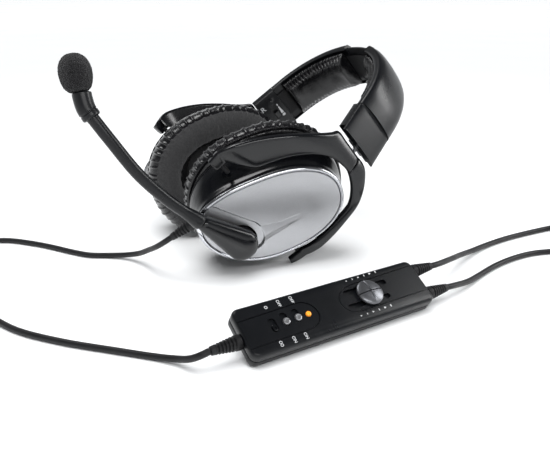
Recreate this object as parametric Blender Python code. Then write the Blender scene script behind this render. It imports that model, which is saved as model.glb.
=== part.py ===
"""An aviation headset with a boom microphone and an in-line control box.

Head frame: X to the wearer's front, Y to the wearer's left, Z up, with its origin midway between the
ears. Every mesh is drawn in millimetres and turned into metres where it is made. The headset stands
on the rear lower edges of its cups, the headband leaning back, and the control box lies before it on
its clip.
"""

import math

import bmesh
import bpy
from mathutils import Euler, Matrix, Vector

MM = 0.001
GAP = 0.3                      # between touching pieces

# How the headset stands: the head frame's place over the floor and its turn
HEAD_AT = (-12.8, -1.3, 34.1)
HEAD_TURN = (4.5, -50.9, -155.1)

# Headband: an arc over the head that runs on straight down each side
BAND_R = 71.0                  # to the outer surface
BAND_CENTRE_UP = 89.0
BAND_TURN = 74.0               # degrees from the crown to the straight
BAND_HALF_WIDTH = 19.0
BRIDGE_HALF = 16.0             # along the arc, like all of these
COVER_END = 100.5
HOUSING_END = 126.5
RIGHT_HOUSING_END = 122.0
LID_END = 122.0
PAD_START = 19.0
PAD_END = 92.0
BAR_START = 105.5
BAR_END = 135.0

# Ear cup, in its own frame: X across, Y outward, Z along its length; origin on the cover plate
CUP_AT = (8.3, 69.5, -2.8)
CUP_LEAN = -15.8               # the top leans outward
CUP_SLANT = 20.6               # the length leans to the rear
PLATE_A, PLATE_B = 50.5, 29.9
PLATE_SKEW = 8.0
OVAL_POWER = 2.2
CUSHION_A, CUSHION_B = 58.6, 49.3
CUSHION_AT = (4.2, 3.7)
SHELL_AT = (3.0, 2.5)
SEGMENTS = 40

# Cup hinge in the yoke's frame, which is the cup's before its slant
HINGE_Y, HINGE_Z = -12.0, -4.0
HINGE_FRONT = (43.0, 53.0)
HINGE_REAR = (-47.5, -33.5)

# The pin that the yoke swivels on, in the slider's frame: the depth of its axis and of its bore
SWIVEL_Y = -5.1
SWIVEL_DEPTH = -7.0
BAR_LOW = 7.6

# The right slider is pushed further in than the left one, and its cup is tipped and turned to the front
RIGHT_TILT = 18.5
RIGHT_SWIVEL = -6.0
RIGHT_LIFT = 5.5

CORD_R = 2.0
RELIEF_AT = (14.5, -8.0, -53.6)       # of the left cup's strain relief, in the cup's frame
RELIEF_TURN = (171.0, 18.0, 0.0)
RELIEF_LONG = 18.0
CORD_COLOUR = (0.015, 0.015, 0.017)


# ---------------------------------------------------------------- scene helpers

def clear_scene():
    for item in list(bpy.data.objects):
        bpy.data.objects.remove(item, do_unlink=True)


def material(name, colour, roughness, metallic=0.0):
    found = bpy.data.materials.get(name)
    if found:
        return found
    made = bpy.data.materials.new(name)
    made.use_nodes = True
    shader = made.node_tree.nodes["Principled BSDF"]
    shader.inputs["Base Color"].default_value = (*colour, 1.0)
    shader.inputs["Roughness"].default_value = roughness
    shader.inputs["Metallic"].default_value = metallic
    return made


def finish(kind):
    finishes = {
        "satin_black": ((0.018, 0.018, 0.020), 0.42, 0.0),
        "gloss_black": ((0.010, 0.010, 0.012), 0.12, 0.0),
        "matte_black": ((0.030, 0.030, 0.032), 0.65, 0.0),
        "leather": ((0.020, 0.020, 0.021), 0.50, 0.0),
        "foam": ((0.012, 0.012, 0.013), 0.95, 0.0),
        "silver": ((0.42, 0.43, 0.45), 0.32, 0.9),
        "chrome": ((0.75, 0.76, 0.78), 0.10, 1.0),
        "steel": ((0.45, 0.46, 0.48), 0.30, 1.0),
        "rubber": ((0.020, 0.020, 0.022), 0.75, 0.0),
        "amber": ((0.90, 0.30, 0.03), 0.25, 0.0),
    }
    return material(kind, *finishes[kind])


def empty(name, parent=None, matrix=Matrix()):
    made = bpy.data.objects.new(name, None)
    bpy.context.collection.objects.link(made)
    made.parent = parent
    made.matrix_basis = matrix
    return made


def shift(x, y, z):
    """A move by millimetres."""
    return Matrix.Translation(Vector((x, y, z)) * MM)


def turn(degrees, axis):
    return Matrix.Rotation(math.radians(degrees), 4, axis)


def add(name, bm, kind, parent=None, matrix=Matrix(), side=1, smooth=35.0):
    """Make a bmesh drawn in millimetres into a named object; side -1 mirrors it across Y."""
    bmesh.ops.remove_doubles(bm, verts=bm.verts, dist=0.001)
    for v in bm.verts:
        v.co = Vector((v.co.x, v.co.y * side, v.co.z)) * MM
    bm.normal_update()
    bmesh.ops.recalc_face_normals(bm, faces=bm.faces)
    mesh = bpy.data.meshes.new(name)
    bm.to_mesh(mesh)
    bm.free()
    mesh.shade_smooth()
    mesh.set_sharp_from_angle(angle=math.radians(smooth))
    mesh.materials.append(finish(kind))
    made = bpy.data.objects.new(name, mesh)
    bpy.context.collection.objects.link(made)
    made.parent = parent
    made.matrix_basis = matrix
    return made


def cut(target, cutter):
    """Take the cutter's shape away from the target, and keep the cutter as a hidden guide."""
    cutter.hide_render = True
    cutter.display_type = "WIRE"
    step = target.modifiers.new("cut_" + cutter.name, "BOOLEAN")
    step.operation = "DIFFERENCE"
    step.object = cutter


# ---------------------------------------------------------------- shape helpers

def loft(rings, closed=False):
    """Skin rings of equal length; the ends are capped, or joined to each other when closed."""
    bm = bmesh.new()
    loops = [[bm.verts.new(point) for point in ring] for ring in rings]
    pairs = list(zip(loops, loops[1:]))
    if closed:
        pairs.append((loops[-1], loops[0]))
    for low, high in pairs:
        for i in range(len(low)):
            j = (i + 1) % len(low)
            bm.faces.new((low[i], low[j], high[j], high[i]))
    if not closed:
        bm.faces.new(loops[0])
        bm.faces.new(loops[-1])
    return bm


def oval(a, b, y, at=(0.0, 0.0), skew=0.0, count=SEGMENTS):
    """A superellipse in the cup's XZ plane, its lower end pushed to the front by the skew."""
    ring = []
    for i in range(count):
        angle = 2.0 * math.pi * i / count
        c, s = math.cos(angle), math.sin(angle)
        x = math.copysign(abs(c) ** (2.0 / OVAL_POWER), c) * b
        z = math.copysign(abs(s) ** (2.0 / OVAL_POWER), s) * a
        x += skew * (min(z, 0.0) / a) ** 2
        ring.append((x + at[0], y, z + at[1]))
    return ring


def circle(radius, count=24):
    return [(radius * math.cos(2 * math.pi * i / count), radius * math.sin(2 * math.pi * i / count))
            for i in range(count)]


def turned(profile, count=24):
    """A solid of revolution about Z from (radius, z) pairs that start and end off the axis."""
    return loft([[(x, y, z) for x, y in circle(radius, count)] for radius, z in profile])


def box(low, high):
    bm = bmesh.new()
    bmesh.ops.create_cube(bm, size=1.0)
    for v in bm.verts:
        v.co = Vector([low[k] if v.co[k] < 0 else high[k] for k in range(3)])
    return bm


def smooth_line(points, steps):
    """Points of a centripetal Catmull-Rom curve through the given ones, steps to each stretch."""
    p = [Vector(q) for q in points]
    p = [2 * p[0] - p[1]] + p + [2 * p[-1] - p[-2]]
    line = []
    for i in range(1, len(p) - 2):
        knots = [0.0]
        for a, b in zip(p[i - 1:i + 2], p[i:i + 3]):
            knots.append(knots[-1] + math.sqrt((b - a).length))
        for k in range(steps):
            t = knots[1] + (knots[2] - knots[1]) * k / steps
            near = [((knots[j + 1] - t) * p[i - 1 + j] + (t - knots[j]) * p[i + j])
                    / (knots[j + 1] - knots[j]) for j in range(3)]
            far = [((knots[j + 2] - t) * near[j] + (t - knots[j]) * near[j + 1])
                   / (knots[j + 2] - knots[j]) for j in range(2)]
            line.append(((knots[2] - t) * far[0] + (t - knots[1]) * far[1]) / (knots[2] - knots[1]))
    return line + [p[-2]]


def frames_along(line):
    """A rotation at each point of a line, Z along it, with no sudden roll."""
    turns = []
    across = None
    for i, point in enumerate(line):
        ahead = (line[min(i + 1, len(line) - 1)] - line[max(i - 1, 0)]).normalized()
        guess = across if across else Vector((0, 0, 1)) if abs(ahead.z) < 0.9 else Vector((1, 0, 0))
        across = (guess - ahead * guess.dot(ahead)).normalized()
        turns.append(Matrix((across, ahead.cross(across), ahead)).transposed())
    return turns


def pipe(line, radii, count=16):
    """A capped tube along a line with a radius at each of its points."""
    rings = []
    for point, frame, radius in zip(line, frames_along(line), radii):
        rings.append([point + frame @ Vector((x, y, 0)) for x, y in circle(radius, count)])
    return loft(rings)


def ribbed(length, base, tip, ribs, count=16):
    """A tapered strain relief with ribs, along +Z from its wide end."""
    profile = [(base * 0.85, 0.0), (base, 1.2), (base, 3.5)]
    start = 3.5
    pitch = (length - start - 2.0) / ribs
    for i in range(ribs):
        z = start + i * pitch
        rib = base + (tip - base) * (i + 1) / ribs
        profile += [(rib * 0.78, z + 0.2), (rib * 0.78, z + pitch * 0.4),
                    (rib, z + pitch * 0.5), (rib, z + pitch * 0.95)]
    profile.append((tip * 0.8, length))
    return turned(profile, count)


# ---------------------------------------------------------------- headband

def band_point(s):
    """Place and outward direction (Y, Z) on the headband's outer line at distance s from its crown."""
    side = 1.0 if s >= 0 else -1.0
    arc_end = BAND_R * math.radians(BAND_TURN)
    angle = min(abs(s), arc_end) / BAND_R
    out = Vector((side * math.sin(angle), math.cos(angle)))
    place = out * BAND_R + Vector((0.0, BAND_CENTRE_UP))
    along = Vector((side * math.cos(angle), -math.sin(angle)))
    return place + along * max(abs(s) - arc_end, 0.0), out


def sweep(section, start, end, steps):
    """Sweep a closed section of (x, depth) pairs along the headband; depth counts inward."""
    rings = []
    for i in range(steps + 1):
        share = i / steps
        place, out = band_point(start + (end - start) * share)
        shape = section(share) if callable(section) else section
        rings.append([(x, place.x - out.x * depth, place.y - out.y * depth) for x, depth in shape])
    return loft(rings)


def crowned(half, top, crown, bottom):
    """A band section with a crowned outer face: half width, edge depth, crown rise, inner depth."""
    steps = (-1.0, -0.8, -0.4, 0.0, 0.4, 0.8, 1.0)
    outer = [(half * t, top - crown * (1.0 - t * t)) for t in steps]
    return outer + [(half, bottom), (-half, bottom)]


COVER_CROWN = 2.8                    # how far the outer covers bulge at their middle


def headband(head):
    bridge = crowned(BAND_HALF_WIDTH - 1.5, 2.6, 0.8, 5.0)
    add("headband_bridge", sweep(bridge, -BRIDGE_HALF + GAP, BRIDGE_HALF - GAP, 8), "satin_black", head)
    spring = [(-11.0, 5.4), (11.0, 5.4), (11.0, 6.4), (-11.0, 6.4)]
    add("headband_spring", sweep(spring, -COVER_END, COVER_END, 40), "steel", head)
    for side, word in ((1, "left"), (-1, "right")):
        cover = crowned(BAND_HALF_WIDTH, 1.0, COVER_CROWN, 5.0)
        add("outer_cover_" + word, sweep(cover, side * BRIDGE_HALF, side * COVER_END, 20),
            "satin_black", head)
        pad = [(-14.0, 6.8), (14.0, 6.8), (16.5, 9.5), (14.5, 14.5), (9.0, 16.5),
               (-9.0, 16.5), (-14.5, 14.5), (-16.5, 9.5)]
        add("inner_pad_" + word, sweep(pad, side * PAD_START, side * PAD_END, 14), "leather", head)
        housing(head, side, word)


def housing(head, side, word):
    """The two shells that hold the slider bar, with the pressure switch on the inner one."""
    outer = crowned(BAND_HALF_WIDTH, 1.0, 1.0, 3.4)
    start, end = side * (COVER_END + GAP), side * (HOUSING_END if side > 0 else RIGHT_HOUSING_END)
    add("housing_outer_" + word, sweep(outer, start, end, 5), "satin_black", head)
    half = BAND_HALF_WIDTH
    inner = [(-half, 3.7), (-9.5, 3.7), (-9.5, 6.9), (9.5, 6.9), (9.5, 3.7), (half, 3.7),
             (half, 9.5), (half - 1.0, 10.5), (-half + 1.0, 10.5), (-half, 9.5)]
    lid = add("housing_inner_" + word, sweep(inner, start, side * LID_END, 5), "matte_black", head)
    place, out = band_point(side * 114.0)
    frame = Matrix.Translation(Vector((0.0, place.x, place.y)) * MM) @ slider_turn(side)
    pocket = add("pocket_" + word, box((-5.0, -12.0, 1.3), (8.2, -8.2, 6.3)), "matte_black", head,
                 frame, side)
    cut(lid, pocket)
    add("pressure_switch_" + word, box((-4.2, -11.6, 1.9), (1.2, -8.5, 5.7)), "gloss_black", head,
        frame, side)


def slider_turn(side):
    """The turn from the head frame to a side's straight run: Y outward, Z up along it."""
    return turn(side * (BAND_TURN - 90.0) * -1.0, "X")


# ---------------------------------------------------------------- slider and yoke

# Stations along the fork from its front tip to its rear tip: outer edge, then inner edge (X, Z)
YOKE_STATIONS = (
    ((59.0, -9.0), (50.3, -8.0)), ((60.3, -1.0), (50.0, 0.5)), ((59.5, 8.0), (43.5, 5.8)),
    ((55.0, 19.0), (35.4, 13.0)), ((48.0, 31.0), (31.5, 22.0)), ((39.0, 43.5), (27.5, 31.5)),
    ((29.5, 54.2), (22.5, 39.8)), ((21.0, 62.3), (15.5, 48.5)), ((15.5, 67.8), (9.0, 53.8)),
    ((11.5, 72.2), (2.0, 57.2)), ((3.0, 72.4), (-5.5, 59.0)), ((-10.0, 72.2), (-13.0, 59.8)),
    ((-23.5, 71.8), (-19.5, 58.0)), ((-31.3, 65.0), (-27.0, 53.6)), ((-38.0, 54.0), (-34.0, 46.0)),
    ((-42.6, 39.5), (-36.8, 35.5)), ((-46.4, 22.0), (-39.2, 21.0)), ((-47.5, 5.0), (-40.5, 5.5)),
    ((-47.0, -7.0), (-40.8, -5.5)), ((-45.0, -13.5), (-41.0, -12.5)))
YOKE_THICK = 5.0


def yoke_depth(z):
    """Depth of the yoke's outer face: proud over the cup, dipping to the slider and to the hinge."""
    to_slider = max(z - 44.0, 0.0)
    to_hinge = max(14.0 - z, 0.0)
    return -3.5 - 0.01215 * to_slider ** 2 - min(0.020 * to_hinge ** 2, 4.5)


def yoke(parent, swivel, side, word):
    """A flat fork lofted from station to station, with bores for its hinge pins and its swivel."""
    outer = smooth_line([(x, 0.0, z) for (x, z), _ in YOKE_STATIONS], 2)
    inner = smooth_line([(x, 0.0, z) for _, (x, z) in YOKE_STATIONS], 2)
    section = ((0.0, -1.2), (0.12, 0.0), (0.88, 0.0), (1.0, -1.2), (1.0, -YOKE_THICK + 0.8),
               (0.88, -YOKE_THICK), (0.12, -YOKE_THICK), (0.0, -YOKE_THICK + 0.8))
    rings = []
    for edge, facing in zip(outer, inner):
        ring = []
        for share, depth in section:
            point = edge.lerp(facing, share)
            point.y = yoke_depth(point.z) + depth
            ring.append(point)
        rings.append(ring)
    made = add("yoke_" + word, loft(rings), "gloss_black", parent, side=side, smooth=40.0)
    for tag, (low, high) in (("front", HINGE_FRONT), ("rear", HINGE_REAR)):
        rod = turned([(2.0, 0.0), (2.0, high - low + 8.0)], 16)
        start = low - 1.0 if tag == "front" else low - 6.0
        place = shift(start, side * HINGE_Y, HINGE_Z) @ turn(90.0, "Y")
        cut(made, add(f"bore_{tag}_{word}", rod, "steel", parent, place))
        pin = turned([(1.7, 0.0), (1.7, high - low)], 16)
        place = shift(low, side * HINGE_Y, HINGE_Z) @ turn(90.0, "Y")
        add(f"hinge_pin_{tag}_{word}", pin, "steel", parent, place)
    socket = turned([(1.95, SWIVEL_DEPTH), (1.95, BAR_LOW)], 16)
    cut(made, add("swivel_bore_" + word, socket, "steel", swivel))


def slider(head, side, word, lift):
    """The steel bar that runs in the housing and ends in the pin that the yoke swivels on."""
    base, out = band_point(side * (BAR_END - 1.0))
    frame = Matrix.Translation(Vector((0.0, base.x, base.y)) * MM) @ slider_turn(side)
    frame = empty("slider_frame_" + word, head, frame @ shift(0.0, 0.0, lift))
    tall = min(BAR_END - BAR_START, BAR_END - 1.0 - COVER_END - 2.0 * GAP - lift)
    bar = box((-8.0, SWIVEL_Y - 1.2, BAR_LOW), (8.0, SWIVEL_Y + 1.2, tall))
    pin = turned([(1.7, SWIVEL_DEPTH + 0.5), (1.7, BAR_LOW + 1.0)], 16)
    bmesh.ops.translate(pin, verts=pin.verts, vec=(0.0, SWIVEL_Y, 0.0))
    add("slider_bar_" + word, join(bar, pin), "steel", frame, side=side)
    return frame


# ---------------------------------------------------------------- ear cups

def ear_cup(frame, side, word):
    shell_rings = [
        oval(PLATE_A - 0.6, PLATE_B - 0.6, -3.4, skew=PLATE_SKEW),
        oval(PLATE_A + 1.6, PLATE_B + 1.8, -3.8, skew=PLATE_SKEW),
        oval(PLATE_A + 2.2, PLATE_B + 3.6, -9.6, (0.6, 0.5), PLATE_SKEW * 0.8),
        oval(53.2, 37.0, -13.8, (2.0, 1.6), 5.0),
        oval(55.0, 41.0, -18.0, SHELL_AT, 3.0),
        oval(56.0, 43.0, -25.6, SHELL_AT, 2.0),
        oval(53.4, 40.4, -25.6, SHELL_AT, 2.0),
        oval(52.4, 38.4, -18.6, SHELL_AT, 3.0),
        oval(50.0, 33.4, -14.4, (2.0, 1.6), 5.0),
        oval(47.0, 29.0, -6.6, (0.6, 0.5), PLATE_SKEW * 0.8),
    ]
    shell = add("cup_shell_" + word, loft(shell_rings), "satin_black", frame, side=side)
    for tag, (low, high) in (("front", HINGE_FRONT), ("rear", HINGE_REAR)):
        rod = turned([(2.0, 0.0), (2.0, high - low + 1.0)], 16)
        place = turn(CUP_SLANT, "Y") @ shift(low - 0.5, side * HINGE_Y, HINGE_Z) @ turn(90.0, "Y")
        cut(shell, add(f"socket_{tag}_{word}", rod, "steel", frame, place))
    trim_rings = [
        oval(PLATE_A - 0.2, PLATE_B - 0.2, -3.0, skew=PLATE_SKEW),
        oval(PLATE_A + 1.8, PLATE_B + 2.0, -3.4, skew=PLATE_SKEW),
        oval(PLATE_A + 0.6, PLATE_B + 0.6, -1.2, skew=PLATE_SKEW),
        oval(PLATE_A - 0.2, PLATE_B - 0.2, -1.2, skew=PLATE_SKEW),
    ]
    trim = add("trim_ring_" + word, loft(trim_rings, closed=True), "chrome", frame, side=side)
    plate_rings = [
        oval(PLATE_A - 0.6, PLATE_B - 0.6, -3.0, skew=PLATE_SKEW),
        oval(PLATE_A - 0.6, PLATE_B - 0.6, -1.2, skew=PLATE_SKEW),
        oval(PLATE_A * 0.80, PLATE_B * 0.78, 0.4, skew=PLATE_SKEW * 0.64),
        oval(PLATE_A * 0.45, PLATE_B * 0.42, 1.2, skew=PLATE_SKEW * 0.2),
    ]
    plate = add("cover_plate_" + word, loft(plate_rings), "silver", frame, side=side)
    baffle_rings = [
        oval(56.0, 43.0, -28.0, SHELL_AT, 2.0),
        oval(56.0, 43.0, -26.0, SHELL_AT, 2.0),
        [(x * 22.4 + SHELL_AT[0], -26.0, z * 22.4 + SHELL_AT[1]) for x, z in circle(1.0, SEGMENTS)],
        [(x * 22.4 + SHELL_AT[0], -28.0, z * 22.4 + SHELL_AT[1]) for x, z in circle(1.0, SEGMENTS)],
    ]
    add("baffle_" + word, loft(baffle_rings, closed=True), "matte_black", frame, side=side)
    driver = turned([(19.0, 0.0), (22.0, 0.8), (22.0, 4.0), (17.0, 5.5), (14.0, 10.0), (9.0, 11.0)])
    place = shift(SHELL_AT[0], side * -28.6, SHELL_AT[1]) @ turn(-90.0 * side, "X")
    add("speaker_" + word, driver, "steel", frame, place)
    cushion_rings = [oval(CUSHION_A + da, CUSHION_B + db, y, CUSHION_AT) for da, db, y in (
        (-9.0, -9.0, -28.8), (-3.0, -3.0, -30.0), (0.0, 0.0, -35.0), (0.0, 0.0, -41.0),
        (-3.5, -3.5, -46.5), (-10.0, -10.0, -49.0), (-19.0, -19.0, -49.0), (-25.0, -25.0, -45.5),
        (-27.0, -27.0, -39.0), (-26.0, -26.0, -31.0), (-22.0, -22.0, -28.8))]
    add("ear_cushion_" + word, loft(cushion_rings, closed=True), "leather", frame, side=side)
    return plate, trim, shell


# ---------------------------------------------------------------- boom microphone

BOOM_ROUTE = ((45.0, 66.0, -41.0), (58.5, 65.2, -43.6), (72.0, 64.0, -45.9), (96.0, 61.0, -47.3),
              (123.0, 56.5, -44.4), (138.3, 53.0, -42.3))
MIC_ROUTE = ((139.1, 52.8, -42.2), (145.1, 51.1, -40.9), (150.8, 49.0, -37.6), (153.2, 48.2, -35.8))
FOAM_AT = (162.1, 45.0, -30.6)
HUB_WIDE = (-8.0, -27.5, 11.2)       # x, z and radius in the cup's frame
HUB_NARROW = (17.5, -46.0, 5.2)
HUB_OVER = 1.8                       # height of the teardrop's lower face
HUB_PLAY = 0.5                       # round the foot


def drop_outline(grow, count=28):
    """A teardrop in the cup's XZ plane round the hub's wide and narrow ends."""
    wide, narrow = Vector(HUB_WIDE[:2]), Vector(HUB_NARROW[:2])
    along = narrow - wide
    lean = math.acos((HUB_WIDE[2] - HUB_NARROW[2]) / along.length)
    heading = math.atan2(along.y, along.x)
    points = []
    for centre, radius, start, end in (
            (narrow, HUB_NARROW[2] + grow, -lean, lean),
            (wide, HUB_WIDE[2] + grow, lean, 2 * math.pi - lean)):
        half = count // 2
        for i in range(half):
            angle = heading + start + (end - start) * i / (half - 1)
            points.append((centre.x + radius * math.cos(angle), centre.y + radius * math.sin(angle)))
    return points


def hub_solid():
    """A domed teardrop that sweeps over the cover plate, on a round foot that turns in the plate's hole."""
    drop = loft([[(x, y, z) for x, z in drop_outline(-inset)]
                 for y, inset in ((HUB_OVER, 0.4), (6.0, 0.0), (9.5, 1.6), (11.0, 5.0))])
    return join(drop, foot(HUB_WIDE[2] - HUB_PLAY, -4.0, HUB_OVER + 1.0))


def foot(radius, low, high):
    """An upright disc about the hub's axis."""
    return loft([[(x + HUB_WIDE[0], y, z + HUB_WIDE[1]) for x, z in circle(radius, 32)] for y in (low, high)])


def boom(head, frame, plate, trim, shell):
    cutter = add("hub_hole", foot(HUB_WIDE[2] + HUB_PLAY, -4.6, 12.0), "silver", frame)
    for piece in (plate, trim, shell):
        cut(piece, cutter)
    hub_piece = add("boom_hub", hub_solid(), "gloss_black", frame)
    line = smooth_line(BOOM_ROUTE, 4)
    radii = [5.6 - 1.6 * min(i / 4.0, 1.0) for i in range(len(line))]
    clear = pipe([line[0] - (line[1] - line[0]) * 2.5, line[1]], [6.0, 6.0])
    cut(hub_piece, add("tube_socket", clear, "gloss_black", head))
    add("boom_tube", pipe(line, radii), "satin_black", head)
    sleeve = smooth_line(MIC_ROUTE, 4)
    add("mic_sleeve", pipe(sleeve, [5.9] * len(sleeve)), "satin_black", head)
    aim = sleeve[-1] - sleeve[-3]
    frame_turn = aim.to_track_quat("Z", "Y").to_matrix().to_4x4()
    egg = turned([(5.4, -10.0), (8.0, -7.6), (9.6, -3.6), (10.0, 1.4), (9.2, 6.6), (6.4, 10.8),
                  (2.4, 12.8)], 20)
    add("windscreen", egg, "foam", head, shift(*FOAM_AT) @ frame_turn)


# ---------------------------------------------------------------- control box

BOX_AT = (56.2, -155.2, 0.0)         # middle of the near lower edge, on the floor
BOX_YAW = 32.5
BOX_TILT = 32.0
BOX_LONG, BOX_WIDE, BOX_TALL = 132.0, 32.0, 11.0
SPLIT = 5.0                          # height of the seam between the casings
FADER_X, FADER_Y = 23.0, 17.0        # middle of the round knob that the two faders make
FADER_APART = 4.8                    # from that to each slot
FADER_SLOTS = {1.0: (6.5, 39.5), -1.0: (4.5, 36.5)}
SWITCHES = (("switch_power", -29.8, 15.5), ("switch_noise", -37.8, 15.3), ("switch_mode", -46.0, 13.9))
SWITCH_SLOT = (-2.2, 6.0)            # from the switch
LENS_AT = (-22.4, 15.9)
RELIEF_Z = 5.4


def box_section(low, high, chamfer_low, chamfer_high):
    """A casing's section in (y, z), its outer corners chamfered."""
    wide = BOX_WIDE
    return [(chamfer_low, low), (wide - chamfer_low, low), (wide, low + chamfer_low),
            (wide, high - chamfer_high), (wide - chamfer_high * 2.2, high),
            (chamfer_high * 2.2, high), (0.0, high - chamfer_high), (0.0, low + chamfer_low)]


def casing(low, high, chamfer_low, chamfer_high):
    section = box_section(low, high, chamfer_low, chamfer_high)
    half = BOX_LONG / 2
    mid = (BOX_WIDE / 2, (low + high) / 2)
    rings = []
    for x, keep in ((-half, 0.93), (-half + 1.5, 1.0), (half - 1.5, 1.0), (half, 0.93)):
        rings.append([(x, mid[0] + (y - mid[0]) * keep, z) for y, z in section])
    return loft(rings)


def pocket(name, frame, target, low, high):
    cutter = add(name, box(low, high), "matte_black", frame)
    cut(target, cutter)


def control_box():
    frame = empty("box_frame", None, shift(*BOX_AT) @ turn(BOX_YAW, "Z") @ turn(BOX_TILT, "X"))
    lower = add("box_lower", casing(0.0, SPLIT - GAP / 2, 1.2, 0.1), "satin_black", frame, smooth=25.0)
    upper = add("box_upper", casing(SPLIT + GAP / 2, BOX_TALL, 0.1, 1.6), "satin_black", frame,
                smooth=25.0)
    room = ((-58.0, 4.0, 2.0), (58.0, BOX_WIDE - 4.0, BOX_TALL - 2.1))
    for piece, tag in ((upper, "upper"), (lower, "lower")):
        pocket("room_" + tag, frame, piece, *room)
    top = BOX_TALL
    for name, sign in (("fader_left", 1.0), ("fader_right", -1.0)):
        y = FADER_Y + sign * FADER_APART
        start, end = FADER_SLOTS[sign]
        pocket("slot_" + name, frame, upper, (start, y - 1.5, 0.5 * top), (end, y + 1.5, top + 1.0))
        add(name, fader_half(sign), "silver", frame, shift(FADER_X, FADER_Y, top))
    for name, x, y in SWITCHES:
        pocket("slot_" + name, frame, upper, (x - 1.6, y + SWITCH_SLOT[0], 0.5 * top),
               (x + 1.6, y + SWITCH_SLOT[1], top + 1.0))
        stem = box((-1.2, -1.4, -2.2), (1.2, 1.4, 0.6))
        if name == "switch_mode":
            knob, look = box((-1.5, -2.0, 0.35), (1.5, 2.0, 1.6)), "gloss_black"
        else:
            knob, look = turned([(2.5, 0.35), (2.5, 1.6), (2.1, 2.2)], 20), "silver"
        add(name, join(knob, stem), look, frame, shift(x, y, top))
    pocket("lens_hole", frame, upper, (LENS_AT[0] - 1.9, LENS_AT[1] - 1.9, 0.5 * top),
           (LENS_AT[0] + 1.9, LENS_AT[1] + 1.9, top + 1.0))
    lens = turned([(1.6, -2.0), (1.6, 0.4), (1.1, 0.9)], 16)
    add("power_lens", lens, "amber", frame, shift(*LENS_AT, top))
    clip(frame)
    for name, end, y in (("relief_box_in", -1, 14.5), ("relief_box_front", 1, 7.6),
                         ("relief_box_back", 1, 25.6)):
        place = shift(end * (BOX_LONG / 2 + GAP), y, RELIEF_Z) @ turn(90.0 * end, "Y")
        add(name, ribbed(RELIEF_LONG, 4.4, 2.9, 4), "rubber", frame, place)


def join(first, second):
    """Union of two closed shapes, made through a Boolean on throwaway objects."""
    pieces = []
    for name, bm in (("first", first), ("second", second)):
        mesh = bpy.data.meshes.new(name)
        bm.normal_update()
        bmesh.ops.recalc_face_normals(bm, faces=bm.faces)
        bm.to_mesh(mesh)
        bm.free()
        pieces.append(bpy.data.objects.new(name, mesh))
        bpy.context.collection.objects.link(pieces[-1])
    step = pieces[0].modifiers.new("join", "BOOLEAN")
    step.operation = "UNION"
    step.object = pieces[1]
    bpy.context.view_layer.update()
    shape = pieces[0].evaluated_get(bpy.context.evaluated_depsgraph_get())
    bm = bmesh.new()
    bm.from_mesh(shape.to_mesh())
    shape.to_mesh_clear()
    for piece in pieces:
        bpy.data.objects.remove(piece, do_unlink=True)
    return bm


def fader_half(sign):
    """Half of a round knob on a stem that runs in its slot."""
    radius = 8.6
    count = 14
    arc = [(radius * math.cos(math.pi * i / count), 0.3 + (radius - 0.3) * math.sin(math.pi * i / count))
           for i in range(count + 1)]
    rings = [[(x * keep, sign * (0.3 + (y - 0.3) * keep), z) for x, y in arc]
             for keep, z in ((1.0, 0.4), (1.0, 2.2), (0.93, 3.2))]
    edges = sorted((sign * (FADER_APART - 1.2), sign * (FADER_APART + 1.2)))
    stem = box((-2.0, edges[0], -2.4), (2.0, edges[1], 1.0))
    return join(loft(rings), stem)


def clip(frame):
    """A spring clip whose lever lies flat on the floor and props up the box's far edge."""
    def floor(y, above):
        return (y, above - y * math.tan(math.radians(BOX_TILT)))

    outline = ((BOX_WIDE - 2.0, -GAP), (19.0, -GAP), (19.0, -1.6), (25.5, -2.2), floor(25.5, 2.4),
               floor(11.0, 2.2), floor(9.0, GAP), floor(BOX_WIDE - 4.0, GAP), (BOX_WIDE - 2.0, -3.0))
    add("box_clip", loft([[(x, y, z) for y, z in outline] for x in (-14.0, 14.0)]), "steel", frame,
        smooth=25.0)


# ---------------------------------------------------------------- cords and plugs

# Routes of the free cords in the world, in millimetres, from the object outward
COIL_MID = 22.0
COIL_HEADSET = (-216.8, -90.0)
COIL_FRONT = (260.2, -52.0)
COIL_BACK = (278.2, 14.0)
CUP_ROUTE = ((-57.4, -73.2, 30.2), (-61.3, -72.9, 27.4), (-68.3, -67.5, 21.5), (-76.8, -57.0, 14.5),
             (-85.8, -47.5, 8.0), (-96.8, -40.5, 3.9), (-109.8, -37.5, 2.3), (-124.8, -36.5, 2.1),
             (-139.8, -30.5, 2.1), (-156.8, -21.5, 2.1), (-176.8, -12.5, 2.1), (-201.8, -6.0, 2.1),
             (-223.8, -12.0, 2.1), (-236.8, -30.0, 2.1), (-240.8, -52.0, 2.1), (-240.8, -75.6, 2.1))
BOX_ROUTE = ((-20.5, -192.8, 12.3), (-24.2, -194.7, 11.3), (-30.8, -192.5, 7.6), (-39.8, -186.5, 4.0),
             (-51.8, -181.5, 2.3),
             (-75.8, -174.5, 2.1), (-107.8, -165.0, 2.1), (-137.8, -152.0, 2.1), (-161.8, -134.0, 2.1),
             (-181.8, -119.5, 2.1), (-202.4, -114.0, 2.1))
FRONT_ROUTE = ((125.8, -106.7, 8.6), (129.7, -104.0, 8.2), (145.2, -88.0, 4.2), (158.2, -72.5, 2.3),
               (173.2, -57.0, 2.1), (190.2, -43.5, 2.1), (209.2, -33.0, 2.1), (228.2, -28.6, 2.1),
               (245.8, -28.0, 2.1))
BACK_ROUTE = ((117.7, -93.7, 18.1), (121.7, -91.0, 17.9), (136.2, -71.5, 13.5), (149.2, -51.0, 8.2),
              (163.2, -33.0, 4.2), (178.2, -17.5, 2.4), (198.2, -2.5, 2.1), (223.2, 12.0, 2.1),
              (253.4, 27.2, 2.1))
FRONT_TAIL = ((284.2, -66.4, 6.0), (284.2, -70.4, 6.4), (284.2, -74.4, 6.6))
BACK_TAIL = ((302.2, -0.4, 6.0), (302.2, -4.4, 6.8), (302.2, -8.4, 7.4))


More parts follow.
